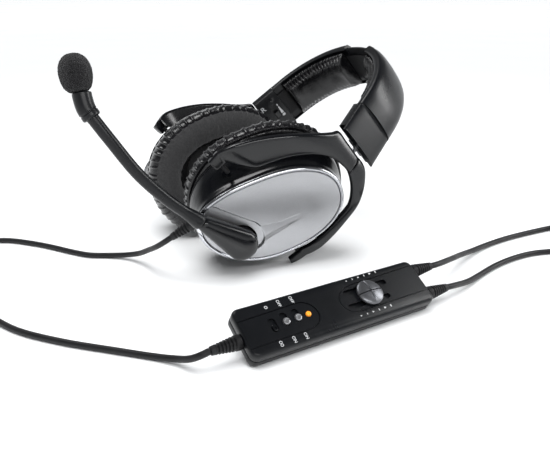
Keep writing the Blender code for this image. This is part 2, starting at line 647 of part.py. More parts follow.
def cord(name, points, steps):
    """A free cord's tube along a smooth curve through its own points, in millimetres."""
    line = smooth_line(points, steps)
    data = bpy.data.curves.new(name, "CURVE")
    data.dimensions = "3D"
    data.bevel_depth = CORD_R * MM
    data.bevel_resolution = 2
    data.use_fill_caps = True
    spline = data.splines.new("POLY")
    spline.points.add(len(line) - 1)
    for point, place in zip(spline.points, line):
        point.co = (*(place * MM), 1.0)
    data.materials.append(material("cord", CORD_COLOUR, 0.5))
    made = bpy.data.objects.new(name, data)
    bpy.context.collection.objects.link(made)


def coil(name, centre, layers):
    """A coil's outer shape, two turns wide, as one turned ring lying on the floor."""
    inner, outer, tall = COIL_MID - 2 * CORD_R, COIL_MID + 2 * CORD_R, 2 * CORD_R * layers
    edge = 1.2
    profile = ((outer - edge, 0.0), (outer, edge), (outer, tall - edge), (outer - edge, tall),
               (inner + edge, tall), (inner, tall - edge), (inner, edge), (inner + edge, 0.0))
    rings = [[(x, y, z) for x, y in circle(radius, 32)] for radius, z in profile]
    add(name, loft(rings, closed=True), "rubber", None, shift(*centre, 0.0))


def plug(name, place, barrel, pin_radius):
    """A lead's plug: sleeve and handle of revolution, with a ringed metal pin."""
    profile = [(2.4, 0.0), (3.0, 8.0), (barrel * 0.9, 11.0), (barrel, 14.0), (barrel, 38.0),
               (barrel * 0.8, 40.0), (pin_radius, 40.4), (pin_radius, 56.0), (pin_radius * 0.7, 58.0),
               (pin_radius, 60.0), (pin_radius * 0.4, 67.0)]
    add(name, turned(profile, 20), "satin_black", None,
        shift(*place) @ turn(90.0, "X"))


def cord_headset():
    """From the left cup down to the floor, a coil aside, and on to the control box."""
    cord("cord_headset_cup", CUP_ROUTE, 3)
    coil("coil_headset", COIL_HEADSET, 2)
    cord("cord_headset_box", BOX_ROUTE, 3)


def cord_front():
    cord("cord_front", FRONT_ROUTE, 3)
    coil("coil_front", COIL_FRONT, 3)
    cord("tail_front", FRONT_TAIL, 2)
    plug("plug_front", (FRONT_TAIL[-1][0], FRONT_TAIL[-1][1] - GAP, FRONT_TAIL[-1][2]), 6.6, 2.6)


def cord_back():
    cord("cord_back", BACK_ROUTE, 3)
    coil("coil_back", COIL_BACK, 3)
    cord("tail_back", BACK_TAIL, 2)
    plug("plug_back", (BACK_TAIL[-1][0], BACK_TAIL[-1][1] - GAP, BACK_TAIL[-1][2]), 7.4, 3.17)


def main():
    clear_scene()
    head = empty("head", None, Matrix.Translation(Vector(HEAD_AT) * MM)
                 @ Euler([math.radians(a) for a in HEAD_TURN]).to_matrix().to_4x4())
    headband(head)
    for side, word in ((1, "left"), (-1, "right")):
        tilt, swivel, lift = (0.0, 0.0, 0.0) if side > 0 else (RIGHT_TILT, RIGHT_SWIVEL, RIGHT_LIFT)
        bar = slider(head, side, word, lift)
        pivot = empty("swivel_" + word, bar, shift(0.0, side * SWIVEL_Y, 0.0) @ turn(swivel, "Z"))
        hug = shift(CUP_AT[0], side * CUP_AT[1], CUP_AT[2]) @ turn(side * CUP_LEAN, "X")
        plain = bar.matrix_basis @ shift(0.0, 0.0, -lift)
        fork = empty("fork_" + word, pivot, shift(0.0, -side * SWIVEL_Y, 0.0) @ plain.inverted() @ hug)
        yoke(fork, pivot, side, word)
        hinge = shift(0.0, side * HINGE_Y, HINGE_Z)
        tip = hinge @ turn(side * tilt, "X") @ hinge.inverted()
        cup = empty("cup_" + word, fork, tip @ turn(-CUP_SLANT, "Y"))
        pieces = ear_cup(cup, side, word)
        if side > 0:
            boom(head, cup, *pieces)
            entry = shift(*RELIEF_AT) @ Euler([math.radians(a) for a in RELIEF_TURN]).to_matrix().to_4x4()
            add("relief_cup", ribbed(18.0, 4.0, 2.8, 4), "rubber", cup, entry)
    control_box()
    cord_headset()
    cord_front()
    cord_back()


main()
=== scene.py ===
"""Looks of the aviation headset: its skins, soft parts, materials, lights and camera, round the CAD frame."""

import math
import random

import bmesh
import bpy
from mathutils import Euler, Matrix, Vector, noise


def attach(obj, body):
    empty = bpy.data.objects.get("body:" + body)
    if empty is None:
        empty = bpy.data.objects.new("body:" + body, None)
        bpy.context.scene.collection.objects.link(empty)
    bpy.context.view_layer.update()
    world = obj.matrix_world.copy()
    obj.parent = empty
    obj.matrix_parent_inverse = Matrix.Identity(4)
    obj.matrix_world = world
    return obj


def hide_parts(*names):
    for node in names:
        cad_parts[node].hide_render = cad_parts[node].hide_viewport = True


MM = 0.001
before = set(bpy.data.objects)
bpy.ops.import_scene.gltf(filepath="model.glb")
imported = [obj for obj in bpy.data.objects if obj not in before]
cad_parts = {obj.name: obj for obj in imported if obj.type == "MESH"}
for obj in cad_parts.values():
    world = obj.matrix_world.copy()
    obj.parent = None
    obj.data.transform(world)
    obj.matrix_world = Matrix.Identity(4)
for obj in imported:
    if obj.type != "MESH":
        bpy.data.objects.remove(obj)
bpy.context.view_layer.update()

# Places, as in the CAD model: lengths in millimetres, turns in degrees
HEAD_AT = (-12.8, -1.3, 34.1)
HEAD_TURN = (4.5, -50.9, -155.1)
BAND_R = 71.0
BAND_CENTRE_UP = 89.0
BAND_TURN = 74.0
BAND_HALF_WIDTH = 19.0
BRIDGE_HALF = 16.0
COVER_END = 100.5
HOUSING_ENDS = {1: 126.5, -1: 122.0}
LID_END = 122.0
PAD_START, PAD_END = 19.0, 92.0
BAR_END = 135.0
CUP_AT = (8.3, 69.5, -2.8)
CUP_LEAN = -15.8
CUP_SLANT = 20.6
PLATE_A, PLATE_B, PLATE_SKEW = 50.5, 29.9, 8.0
OVAL_POWER = 2.2
CUSHION_A, CUSHION_B, CUSHION_AT = 58.6, 49.3, (4.2, 3.7)
SHELL_AT = (3.0, 2.5)
HINGE_Y, HINGE_Z = -12.0, -4.0
SWIVEL_Y = -5.1
RIGHT_TILT, RIGHT_SWIVEL, RIGHT_LIFT = 18.5, -6.0, 5.5
BOX_AT, BOX_YAW, BOX_TILT = (56.2, -155.2, 0.0), 32.5, 32.0
BOX_LONG, BOX_WIDE, BOX_TALL, SPLIT = 132.0, 32.0, 11.0, 5.0
BOX_CORNER = 4.5
GAP = 0.3
SIDES = ((1, "left"), (-1, "right"))


# ---------------------------------------------------------------- places

def shift(x, y, z):
    return Matrix.Translation(Vector((x, y, z)) * MM)


def turn(degrees, axis):
    return Matrix.Rotation(math.radians(degrees), 4, axis)


def euler(degrees):
    """Turns about X, then Y, then Z."""
    return Euler([math.radians(angle) for angle in degrees]).to_matrix().to_4x4()


def band_point(s):
    """Place and outward direction (Y, Z) on the headband's outer line at distance s from its crown."""
    side = 1.0 if s >= 0 else -1.0
    arc_end = BAND_R * math.radians(BAND_TURN)
    angle = min(abs(s), arc_end) / BAND_R
    out = Vector((side * math.sin(angle), math.cos(angle)))
    place = out * BAND_R + Vector((0.0, BAND_CENTRE_UP))
    along = Vector((side * math.cos(angle), -math.sin(angle)))
    return place + along * max(abs(s) - arc_end, 0.0), out


def band_frame(s, side):
    """A frame on the headband's straight run: Y outward, Z up along it."""
    base, _ = band_point(side * s)
    return HEAD @ shift(0.0, base.x, base.y) @ turn(side * (90.0 - BAND_TURN), "X")


def fork_frame(side):
    """The yoke's frame on one side."""
    hug = shift(CUP_AT[0], side * CUP_AT[1], CUP_AT[2]) @ turn(side * CUP_LEAN, "X")
    if side > 0:
        return HEAD @ hug
    plain = HEAD.inverted() @ band_frame(BAR_END - 1.0, side)
    swivel = shift(0.0, side * SWIVEL_Y, 0.0) @ turn(RIGHT_SWIVEL, "Z") @ shift(0.0, -side * SWIVEL_Y, 0.0)
    return HEAD @ plain @ shift(0.0, 0.0, RIGHT_LIFT) @ swivel @ plain.inverted() @ hug


def cup_frame(side):
    if side > 0:
        return fork_frame(side) @ turn(-CUP_SLANT, "Y")
    hinge = shift(0.0, side * HINGE_Y, HINGE_Z)
    tip = hinge @ turn(side * RIGHT_TILT, "X") @ hinge.inverted()
    return fork_frame(side) @ tip @ turn(-CUP_SLANT, "Y")


HEAD = shift(*HEAD_AT) @ euler(HEAD_TURN)
BOX = shift(*BOX_AT) @ turn(BOX_YAW, "Z") @ turn(BOX_TILT, "X")
CUPS = {side: cup_frame(side) for side, _ in SIDES}
FORKS = {side: fork_frame(side) for side, _ in SIDES}


def place_in_scene(name, data):
    """A new object that shows the data."""
    made = bpy.data.objects.new(name, data)
    bpy.context.scene.collection.objects.link(made)
    return made


# ---------------------------------------------------------------- camera

CAMERA_AT = (0.0141, -0.4968, 0.1937)  # in metres
CAMERA_TILT = 70.0                     # degrees up from looking straight down
CAMERA_LENS = 43.29


def camera():
    data = bpy.data.cameras.new("camera")
    data.sensor_width = 36.0
    data.lens = CAMERA_LENS
    data.clip_start = 0.01
    data.clip_end = 100.0
    made = place_in_scene("camera", data)
    made.location = CAMERA_AT
    made.rotation_euler = (math.radians(CAMERA_TILT), 0.0, 0.0)
    bpy.context.scene.camera = made


camera()


# ---------------------------------------------------------------- materials

class Shader:
    """A material's node tree, with short ways to add what the materials here are made of."""

    def __init__(self, name, colour, roughness, metallic=0.0, **fixed):
        self.material = bpy.data.materials.new(name)
        self.material.use_nodes = True
        self.tree = self.material.node_tree
        self.main = self.tree.nodes["Principled BSDF"]
        self.main.inputs["Base Color"].default_value = (*colour, 1.0)
        self.main.inputs["Roughness"].default_value = roughness
        self.main.inputs["Metallic"].default_value = metallic
        for key, value in fixed.items():
            self.main.inputs[key.replace("_", " ").title().replace("Ior", "IOR")].default_value = value
        self.place = self.tree.nodes.new("ShaderNodeTexCoord").outputs["Object"]
        self.colour, self.roughness = colour, roughness

    def link(self, a, b):
        self.tree.links.new(a, b)

    def node(self, kind, **values):
        """A node with some inputs set; the names are the inputs' own, with _ for a space."""
        node = self.tree.nodes.new("ShaderNode" + kind)
        for key, value in values.items():
            node.inputs[key.replace("_", " ")].default_value = value
        return node

    def noise(self, scale, detail=3.0, rough=0.5, stretch=None):
        node = self.node("TexNoise", Scale=scale, Detail=detail, Roughness=rough)
        place = self.place
        if stretch:
            mapping = self.node("Mapping", Scale=stretch)
            self.link(self.place, mapping.inputs["Vector"])
            place = mapping.outputs["Vector"]
        self.link(place, node.inputs["Vector"])
        return node.outputs["Fac"]

    def voronoi(self, scale):
        node = self.node("TexVoronoi", Scale=scale)
        self.link(self.place, node.inputs["Vector"])
        return node.outputs["Distance"]

    def vary_roughness(self, source, amount):
        node = self.node("MapRange", From_Min=0.3, From_Max=0.7, To_Min=self.roughness - amount,
                         To_Max=self.roughness + amount)
        self.link(source, node.inputs["Value"])
        self.link(node.outputs["Result"], self.main.inputs["Roughness"])

    def vary_colour(self, source, darker, lighter, low=0.3, high=0.7):
        ramp = self.node("ValToRGB")
        ramp.color_ramp.elements[0].position = low
        ramp.color_ramp.elements[1].position = high
        for element, factor in zip(ramp.color_ramp.elements, (darker, lighter)):
            element.color = (*[min(c * factor, 1.0) for c in self.colour], 1.0)
        self.link(source, ramp.inputs["Fac"])
        self.link(ramp.outputs["Color"], self.main.inputs["Base Color"])

    def bump(self, source, distance):
        """Bump by a height in metres, on top of what is there."""
        node = self.node("Bump", Distance=distance, Strength=1.0)
        self.link(source, node.inputs["Height"])
        if self.main.inputs["Normal"].is_linked:
            self.link(self.main.inputs["Normal"].links[0].from_socket, node.inputs["Normal"])
        self.link(node.outputs["Normal"], self.main.inputs["Normal"])


def moulded(name, colour, roughness, grain=0.00003, **fixed):
    """Moulded plastic: a faint grain, and a sheen that changes a little from place to place."""
    s = Shader(name, colour, roughness, **fixed)
    s.vary_roughness(s.noise(55.0, 4.0), 0.05)
    s.vary_colour(s.noise(30.0, 2.0), 0.8, 1.25)
    s.bump(s.noise(2600.0, 2.0), grain)
    return s.material


def leatherette():
    s = Shader("leatherette", (0.0035, 0.0035, 0.0042), 0.21, specular_ior_level=0.55)
    s.vary_roughness(s.noise(160.0, 4.0), 0.06)
    s.vary_colour(s.noise(45.0, 3.0), 0.7, 1.4)
    s.bump(s.voronoi(1500.0), 0.00006)
    s.bump(s.noise(420.0, 5.0, 0.6), 0.0001)
    return s.material


def cushion_face():
    s = Shader("cushion_face", (0.020, 0.020, 0.021), 0.62, specular_ior_level=0.4, sheen_weight=0.25,
               sheen_roughness=0.5)
    s.vary_colour(s.noise(900.0, 4.0, 0.7), 0.45, 1.9, 0.25, 0.75)
    s.bump(s.noise(1400.0, 3.0), 0.0003)
    s.bump(s.noise(260.0, 4.0, 0.6, stretch=(1.0, 1.0, 0.35)), 0.0009)
    return s.material


def satin_silver(name, colour):
    s = Shader(name, colour, 0.34, 0.9)
    s.vary_colour(s.noise(3800.0, 2.0), 0.88, 1.10)
    s.vary_roughness(s.noise(70.0, 4.0), 0.04)
    s.bump(s.noise(5200.0, 1.0), 0.00002)
    return s.material


def polished(name, colour, roughness):
    s = Shader(name, colour, roughness, 1.0)
    s.vary_roughness(s.noise(240.0, 4.0), 0.03)
    s.vary_colour(s.noise(90.0), 0.94, 1.04)
    return s.material


def brushed_steel():
    s = Shader("brushed_steel", (0.46, 0.47, 0.49), 0.30, 1.0)
    s.vary_roughness(s.noise(900.0, 3.0, stretch=(1.0, 0.05, 0.05)), 0.08)
    s.bump(s.noise(2400.0, 2.0, stretch=(1.0, 0.04, 0.04)), 0.00003)
    return s.material


def soft_rubber():
    s = Shader("soft_rubber", (0.008, 0.008, 0.009), 0.48, specular_ior_level=0.35)
    s.vary_roughness(s.noise(120.0, 4.0), 0.08)
    s.vary_colour(s.noise(60.0), 0.75, 1.35)
    s.bump(s.noise(3200.0, 2.0), 0.00004)
    return s.material


def open_foam():
    s = Shader("open_foam", (0.012, 0.012, 0.013), 0.95, specular_ior_level=0.2, sheen_weight=0.12,
               sheen_roughness=0.5)
    cells = s.voronoi(1500.0)
    s.vary_colour(cells, 2.1, 0.35, 0.15, 0.75)
    s.bump(cells, 0.0008)
    s.bump(s.noise(500.0, 3.0), 0.0005)
    return s.material


def ear_cloth():
    s = Shader("ear_cloth", (0.010, 0.010, 0.011), 0.9, sheen_weight=0.2)
    wave = s.node("TexWave", Scale=420.0)
    s.link(s.place, wave.inputs["Vector"])
    s.vary_colour(wave.outputs["Fac"], 0.5, 1.6)
    s.bump(wave.outputs["Fac"], 0.0002)
    return s.material


def amber_lens():
    s = Shader("amber_lens", (1.0, 0.33, 0.03), 0.18)
    s.main.inputs["Emission Color"].default_value = (1.0, 0.30, 0.02, 1.0)
    s.main.inputs["Emission Strength"].default_value = 0.15
    s.vary_colour(s.noise(900.0), 0.8, 1.1)
    return s.material


def white_print():
    s = Shader("white_print", (0.50, 0.51, 0.52), 0.5)
    s.vary_colour(s.noise(1400.0), 0.85, 1.1)
    return s.material


def studio_floor():
    s = Shader("studio_floor", (0.91, 0.92, 0.93), 0.12, specular_ior_level=0.5)
    s.vary_colour(s.noise(1.5, 2.0), 0.99, 1.01)
    s.vary_roughness(s.noise(3.0, 2.0), 0.02)
    return s.material


LOOKS = {
    "satin": moulded("satin_black", (0.0038, 0.0043, 0.0054), 0.31, specular_ior_level=0.34),
    "gloss": moulded("gloss_black", (0.0028, 0.0032, 0.0042), 0.20, 0.00001, specular_ior_level=0.5),
    "matte": moulded("matte_black", (0.008, 0.008, 0.009), 0.55, 0.00005, specular_ior_level=0.25),
    "leather": leatherette(),
    "face": cushion_face(),
    "silver": satin_silver("satin_silver", (0.44, 0.445, 0.46)),
    "knob": satin_silver("knob_grey", (0.20, 0.205, 0.22)),
    "chrome": polished("polished_trim", (0.60, 0.61, 0.64), 0.16),
    "nickel": polished("nickel_pin", (0.66, 0.63, 0.58), 0.16),
    "steel": brushed_steel(),
    "rubber": soft_rubber(),
    "foam": open_foam(),
    "cloth": ear_cloth(),
    "amber": amber_lens(),
    "print": white_print(),
    "floor": studio_floor(),
}


# ---------------------------------------------------------------- mesh helpers

def loft(rings, closed=False, capped=True):
    """Skin rings of equal length; the ends are capped, or joined to each other when closed."""
    bm = bmesh.new()
    loops = [[bm.verts.new(point) for point in ring] for ring in rings]
    pairs = list(zip(loops, loops[1:]))
    if closed:
        pairs.append((loops[-1], loops[0]))
    for low, high in pairs:
        for i in range(len(low)):
            j = (i + 1) % len(low)
            bm.faces.new((low[i], low[j], high[j], high[i]))
    if capped and not closed:
        bm.faces.new(loops[0])
        bm.faces.new(loops[-1])
    return bm


def join(*meshes):
    """Several bmeshes in one, side by side."""
    whole = bmesh.new()
    for bm in meshes:
        scratch = bpy.data.meshes.new("scratch")
        bm.to_mesh(scratch)
        bm.free()
        whole.from_mesh(scratch)
        bpy.data.meshes.remove(scratch)
    return whole


def finished_mesh(name, bm, place, side):
    """The mesh of a shape drawn in millimetres in the frame called place; side -1 mirrors it across Y."""
    bm.transform(place @ Matrix.Diagonal((MM, MM * side, MM, 1.0)))
    bm.normal_update()
    bmesh.ops.recalc_face_normals(bm, faces=bm.faces)
    mesh = bpy.data.meshes.new(name)
    bm.to_mesh(mesh)
    bm.free()
    return mesh


def add(name, bm, look, place, body, replaces=(), side=1, sharp=38.0):
    """A visible piece that rides on a body. Its first look gives its slot, unless one is given."""
    bmesh.ops.remove_doubles(bm, verts=bm.verts, dist=0.0005)
    mesh = finished_mesh(name, bm, place, side)
    mesh.shade_smooth()
    mesh.set_sharp_from_angle(angle=math.radians(sharp))
    looks = (look,) if isinstance(look, str) else look
    for key in looks:
        mesh.materials.append(LOOKS[key])
    made = place_in_scene(name, mesh)
    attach(made, body)
    if replaces:
        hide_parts(*replaces)
    return made


def cut(target, bm, place, side=1):
    """Take a shape, drawn as for add, out of a finished piece."""
    mesh = finished_mesh("cutter", bm, place, side)
    cutter = place_in_scene("cutter", mesh)
    step = target.modifiers.new("cut", "BOOLEAN")
    step.object = cutter
    bake(target)
    bpy.data.objects.remove(cutter, do_unlink=True)
    bpy.data.meshes.remove(mesh)


def evaluated_mesh(made):
    """A new mesh of what an object looks like with its modifiers."""
    bpy.context.view_layer.update()
    return bpy.data.meshes.new_from_object(made.evaluated_get(bpy.context.evaluated_depsgraph_get()))


def bake(piece):
    """Turn a piece's modifiers into its mesh."""
    result = evaluated_mesh(piece)
    old = piece.data
    piece.modifiers.clear()
    piece.data = result
    bpy.data.meshes.remove(old)


def circle(radius, count):
    """Points round a circle, anticlockwise from the X axis."""
    return [(radius * math.cos(2 * math.pi * i / count), radius * math.sin(2 * math.pi * i / count))
            for i in range(count)]


def turned(profile, count=48):
    """A solid of revolution about Z from (radius, z) pairs that start and end off the axis."""
    return loft([[(x, y, z) for x, y in circle(radius, count)] for radius, z in profile])


def prism(points, low, high):
    return loft([[(x, y, z) for x, y in points] for z in (low, high)])


def boxed(low, high):
    (x0, y0, z0), (x1, y1, z1) = low, high
    return prism(((x0, y0), (x1, y0), (x1, y1), (x0, y1)), z0, z1)


def curve_through(points, steps, closed=False):
    """Points of a centripetal Catmull-Rom curve through the given ones, steps to each stretch."""
    p = [Vector(q) for q in points]
    p = [p[-1]] + p + p[:2] if closed else [2 * p[0] - p[1]] + p + [2 * p[-1] - p[-2]]
    line = []
    for i in range(1, len(p) - 2):
        knots = [0.0]
        for a, b in zip(p[i - 1:i + 2], p[i:i + 3]):
            knots.append(knots[-1] + math.sqrt((b - a).length))
        for k in range(steps):
            t = knots[1] + (knots[2] - knots[1]) * k / steps
            near = [((knots[j + 1] - t) * p[i - 1 + j] + (t - knots[j]) * p[i + j])
                    / (knots[j + 1] - knots[j]) for j in range(3)]
            far = [((knots[j + 2] - t) * near[j] + (t - knots[j]) * near[j + 1])
                   / (knots[j + 2] - knots[j]) for j in range(2)]
            line.append(((knots[2] - t) * far[0] + (t - knots[1]) * far[1]) / (knots[2] - knots[1]))
    return line if closed else line + [p[-2]]


def frames_along(line):
    """A rotation at each point of a line, Z along it, with no sudden roll."""
    turns = []
    across = None
    for i, point in enumerate(line):
        ahead = (line[min(i + 1, len(line) - 1)] - line[max(i - 1, 0)]).normalized()
        guess = across if across else Vector((0, 0, 1)) if abs(ahead.z) < 0.9 else Vector((1, 0, 0))
        across = (guess - ahead * guess.dot(ahead)).normalized()
        turns.append(Matrix((across, ahead.cross(across), ahead)).transposed())
    return turns


def pipe(line, radii, count=28):
    """A capped tube along a line with a radius at each of its points."""
    rings = []
    for point, frame_turn, radius in zip(line, frames_along(line), radii):
        rings.append([point + frame_turn @ Vector((x, y, 0)) for x, y in circle(radius, count)])
    return loft(rings)


def oval(a, b, y, at=(0.0, 0.0), skew=0.0, count=128):
    """A superellipse in the cup's XZ plane, its lower end pushed to the front by the skew."""
    ring = []
    for i in range(count):
        angle = 2.0 * math.pi * i / count
        c, s = math.cos(angle), math.sin(angle)
        x = math.copysign(abs(c) ** (2.0 / OVAL_POWER), c) * b
        z = math.copysign(abs(s) ** (2.0 / OVAL_POWER), s) * a
        x += skew * (min(z, 0.0) / a) ** 2
        ring.append((x + at[0], y, z + at[1]))
    return ring


def disc(radius, y, at, count=72):
    """A circle in the cup's XZ plane."""
    return [(x + at[0], y, z + at[1]) for x, z in circle(radius, count)]


def smooth(low, high, value):
    """From 0 at low to 1 at high, level at both."""
    t = min(max((value - low) / (high - low), 0.0), 1.0)
    return t * t * (3.0 - 2.0 * t)


# ---------------------------------------------------------------- cords, coils and plugs

# Routes as in the CAD model, in millimetres in the world
CORD_R = 2.0
COIL_MID = 22.0
RELIEF_LONG = 18.0
CUP_ROUTE = ((-57.4, -73.2, 30.2), (-61.3, -72.9, 27.4), (-68.3, -67.5, 21.5), (-76.8, -57.0, 14.5),
             (-85.8, -47.5, 8.0), (-96.8, -40.5, 3.9), (-109.8, -37.5, 2.3), (-124.8, -36.5, 2.1),
             (-139.8, -30.5, 2.1), (-156.8, -21.5, 2.1), (-176.8, -12.5, 2.1), (-201.8, -6.0, 2.1),
             (-223.8, -12.0, 2.1), (-236.8, -30.0, 2.1), (-240.8, -52.0, 2.1), (-240.8, -75.6, 2.1))
BOX_ROUTE = ((-20.5, -192.8, 12.3), (-24.2, -194.7, 11.3), (-30.8, -192.5, 7.6), (-39.8, -186.5, 4.0),
             (-51.8, -181.5, 2.3), (-75.8, -174.5, 2.1), (-107.8, -165.0, 2.1), (-137.8, -152.0, 2.1),
             (-161.8, -134.0, 2.1), (-181.8, -119.5, 2.1), (-202.4, -114.0, 2.1))
FRONT_ROUTE = ((125.8, -106.7, 8.6), (129.7, -104.0, 8.2), (145.2, -88.0, 4.2), (158.2, -72.5, 2.3),
               (173.2, -57.0, 2.1), (190.2, -43.5, 2.1), (209.2, -33.0, 2.1), (228.2, -28.6, 2.1),
               (245.8, -28.0, 2.1))
BACK_ROUTE = ((117.7, -93.7, 18.1), (121.7, -91.0, 17.9), (136.2, -71.5, 13.5), (149.2, -51.0, 8.2),
              (163.2, -33.0, 4.2), (178.2, -17.5, 2.4), (198.2, -2.5, 2.1), (223.2, 12.0, 2.1),
              (253.4, 27.2, 2.1))
FRONT_TAIL = ((284.2, -66.4, 6.0), (284.2, -70.4, 6.4), (284.2, -74.4, 6.6))
BACK_TAIL = ((302.2, -0.4, 6.0), (302.2, -4.4, 6.8), (302.2, -8.4, 7.4))
LANE_CHANGE = 55.0                     # degrees that a turn takes to move over to its next place


def wound(centre, start, way, last, layers):
    """A coil's centre line, two turns wide: it starts outside at the bottom and ends outside on top.

    start is the angle where it begins, way is 1 for anticlockwise, last the degrees after its full turns.
    """
    places = [(CORD_R, CORD_R), (-CORD_R, CORD_R), (-CORD_R, 3 * CORD_R), (CORD_R, 3 * CORD_R)]
    if layers > 2:
        places.append((CORD_R, 5 * CORD_R))
    line = []
    total = 360.0 * (len(places) - 1) + last
    for i in range(int(total / 10.0) + 1):
        gone = min(10.0 * i, total)
        aside, high = places[0]
        for k, (next_aside, next_high) in enumerate(places[1:]):
            leave = 360.0 * (k + 1) - LANE_CHANGE * (k + 1)
            share = smooth(leave, leave + LANE_CHANGE, gone)
            aside += (next_aside - aside) * share
            high += (next_high - high) * share
        angle = math.radians(start + way * gone)
        line.append((centre[0] + (COIL_MID + aside) * math.cos(angle),
                     centre[1] + (COIL_MID + aside) * math.sin(angle), high + 0.1))
    return line


def free_cord(name, points, replaced):
    """One cord along its points: a poly curve through a smooth line."""
    line = [Vector(p) for p in points]
    data = bpy.data.curves.new(name, "CURVE")
    data.dimensions = "3D"
    data.bevel_depth = CORD_R * MM
    data.bevel_resolution = 5
    data.use_fill_caps = True
    spline = data.splines.new("POLY")
    spline.points.add(len(line) - 1)
    for point, place in zip(spline.points, line):
        point.co = (*(place * MM), 1.0)
    spline.use_smooth = True
    data.materials.append(LOOKS["rubber"])
    made = place_in_scene(name, data)
    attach(made, "left_cup")
    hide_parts(*replaced)
    return made


def ease_down(line, other):
    """A few points that carry the end of one line over to the start of another."""
    a, b = Vector(line[-1]), Vector(other[0])
    ahead = (Vector(line[-1]) - Vector(line[-2])).normalized()
    after = (Vector(other[1]) - b).normalized()
    span = (b - a).length
    handles = (a, a + ahead * span * 0.35, b - after * span * 0.35, b)
    made = []
    for i in range(1, 5):
        t = i / 5.0
        weights = ((1 - t) ** 3, 3 * t * (1 - t) ** 2, 3 * t * t * (1 - t), t ** 3)
        made.append(sum((w * h for w, h in zip(weights, handles)), Vector()))
    return made


def cords():
    """The lead from the cup to the box, and the two leads from the box to the plugs."""
    cup = curve_through(CUP_ROUTE, 5)
    box = curve_through(tuple(reversed(BOX_ROUTE)), 5)
    turns = wound((-216.8, -90.0), 180.0, 1, 90.0, 2)
    whole = cup + ease_down(cup, turns) + turns + ease_down(turns, box) + box
    free_cord("cord_headset_lead", whole,
              ("cord_headset_cup", "coil_headset", "cord_headset_box"))
    for word, route, tail, centre, start in (
            ("front", FRONT_ROUTE, FRONT_TAIL, (260.2, -52.0), 90.0),
            ("back", BACK_ROUTE, BACK_TAIL, (278.2, 14.0), 121.0)):
        run = curve_through(route, 5)
        end = curve_through(tail, 3)
        turns = wound(centre, start, -1, start, 3)
        whole = run + ease_down(run, turns) + turns + ease_down(turns, end) + end
        plug = plug_piece(word, tail[-1])
        free_cord(f"cord_{word}_lead", whole,
                  (f"cord_{word}", f"coil_{word}", f"tail_{word}"))


PLUGS = {"front": (6.6, 2.6), "back": (7.4, 3.17)}


def plug_piece(word, at):
    """A lead's plug: a ribbed sleeve, a handle with grip rings, and a ringed pin."""
    barrel, pin = PLUGS[word]
    profile = [(2.1, 0.0), (2.5, 0.4), (2.7, 3.0)]
    for i in range(4):
        z = 3.4 + 1.7 * i
        rib = 2.9 + 0.35 * i
        profile += [(rib - 0.45, z), (rib - 0.45, z + 0.5), (rib, z + 0.7), (rib, z + 1.5)]
    profile += [(barrel * 0.86, 11.0), (barrel * 0.96, 12.4), (barrel, 14.0), (barrel, 16.0)]
    for i in range(7):
        z = 17.0 + 2.4 * i
        profile += [(barrel, z), (barrel - 0.35, z + 0.3), (barrel - 0.35, z + 0.9), (barrel, z + 1.2)]
    profile += [(barrel, 37.2), (barrel - 0.5, 38.0), (barrel * 0.8, 38.6), (barrel * 0.8, 39.8),
                (pin + 0.4, 40.0)]
    handle = turned(profile, 40)
    tip = turned([(pin, 39.9), (pin, 48.8), (pin - 0.25, 49.0), (pin - 0.25, 49.8), (pin, 50.0),
                  (pin, 57.2), (pin * 0.7, 57.9), (pin * 0.7, 59.0), (pin, 60.2), (pin * 0.9, 62.5),
                  (pin * 0.35, 66.6), (pin * 0.2, 66.9)], 40)
    for face in tip.faces:
        face.material_index = 1
    place = shift(at[0], at[1] - GAP, at[2]) @ turn(90.0, "X")
    return add(f"plug_{word}_piece", join(handle, tip), ("satin", "nickel"), place, "left_cup",
               (f"plug_{word}",))


def relief(name, place, base, tip, ribs):
    """A tapered strain relief with slotted ribs, along +Z from its wide end."""
    profile = [(base * 0.80, 0.0), (base * 0.97, 0.25), (base, 0.8), (base, 3.3), (base * 0.94, 3.6)]
    start = 3.8
    pitch = (RELIEF_LONG - start - 2.4) / ribs
    for i in range(ribs):
        z = start + i * pitch
        rib = base + (tip - base) * (i + 1) / ribs
        groove = rib - 0.75
        profile += [(groove, z + 0.15), (groove, z + pitch * 0.38), (rib - 0.12, z + pitch * 0.5),
                    (rib, z + pitch * 0.58), (rib, z + pitch * 0.90), (rib - 0.12, z + pitch * 0.98)]
    profile += [(tip - 0.15, RELIEF_LONG - 2.2), (tip - 0.35, RELIEF_LONG - 0.3), (tip * 0.8, RELIEF_LONG)]
    add(name + "_piece", turned(profile, 36), "rubber", place, "left_cup", (name,), sharp=30.0)


def reliefs():
    """The strain reliefs where the leads leave the cup and the box."""
    entry = CUPS[1] @ shift(14.5, -8.0, -53.6) @ euler((171.0, 18.0, 0.0))
    relief("relief_cup", entry, 4.0, 2.8, 5)
    for name, end, y in (("relief_box_in", -1, 14.5), ("relief_box_front", 1, 7.6),
                         ("relief_box_back", 1, 25.6)):
        place = BOX @ shift(end * (BOX_LONG / 2 + GAP), y, 5.4) @ turn(90.0 * end, "Y")
        relief(name, place, 4.4, 2.9, 6)


cords()
reliefs()


# ---------------------------------------------------------------- ear cushions

PLEATS = 58
INNER_PLEATS = 34
RIDGE_WIDE = 0.25                      # half of a gathered fold, as a share of the way to the next
CUSHION_SECTION = ((-9.0, -28.9), (-4.0, -29.6), (-0.6, -32.0), (0.3, -36.0), (0.1, -40.5), (-1.8, -45.0),
                   (-6.0, -48.0), (-11.5, -49.4), (-18.0, -49.0), (-23.0, -46.6), (-26.0, -42.0),
                   (-26.6, -37.0), (-25.4, -32.0), (-22.5, -29.2), (-16.0, -28.9))
AROUND = 720
SECTION_STEPS = 4
FACE_FROM, FACE_TO = 0.36, 0.60        # the share of the section that is the soft face


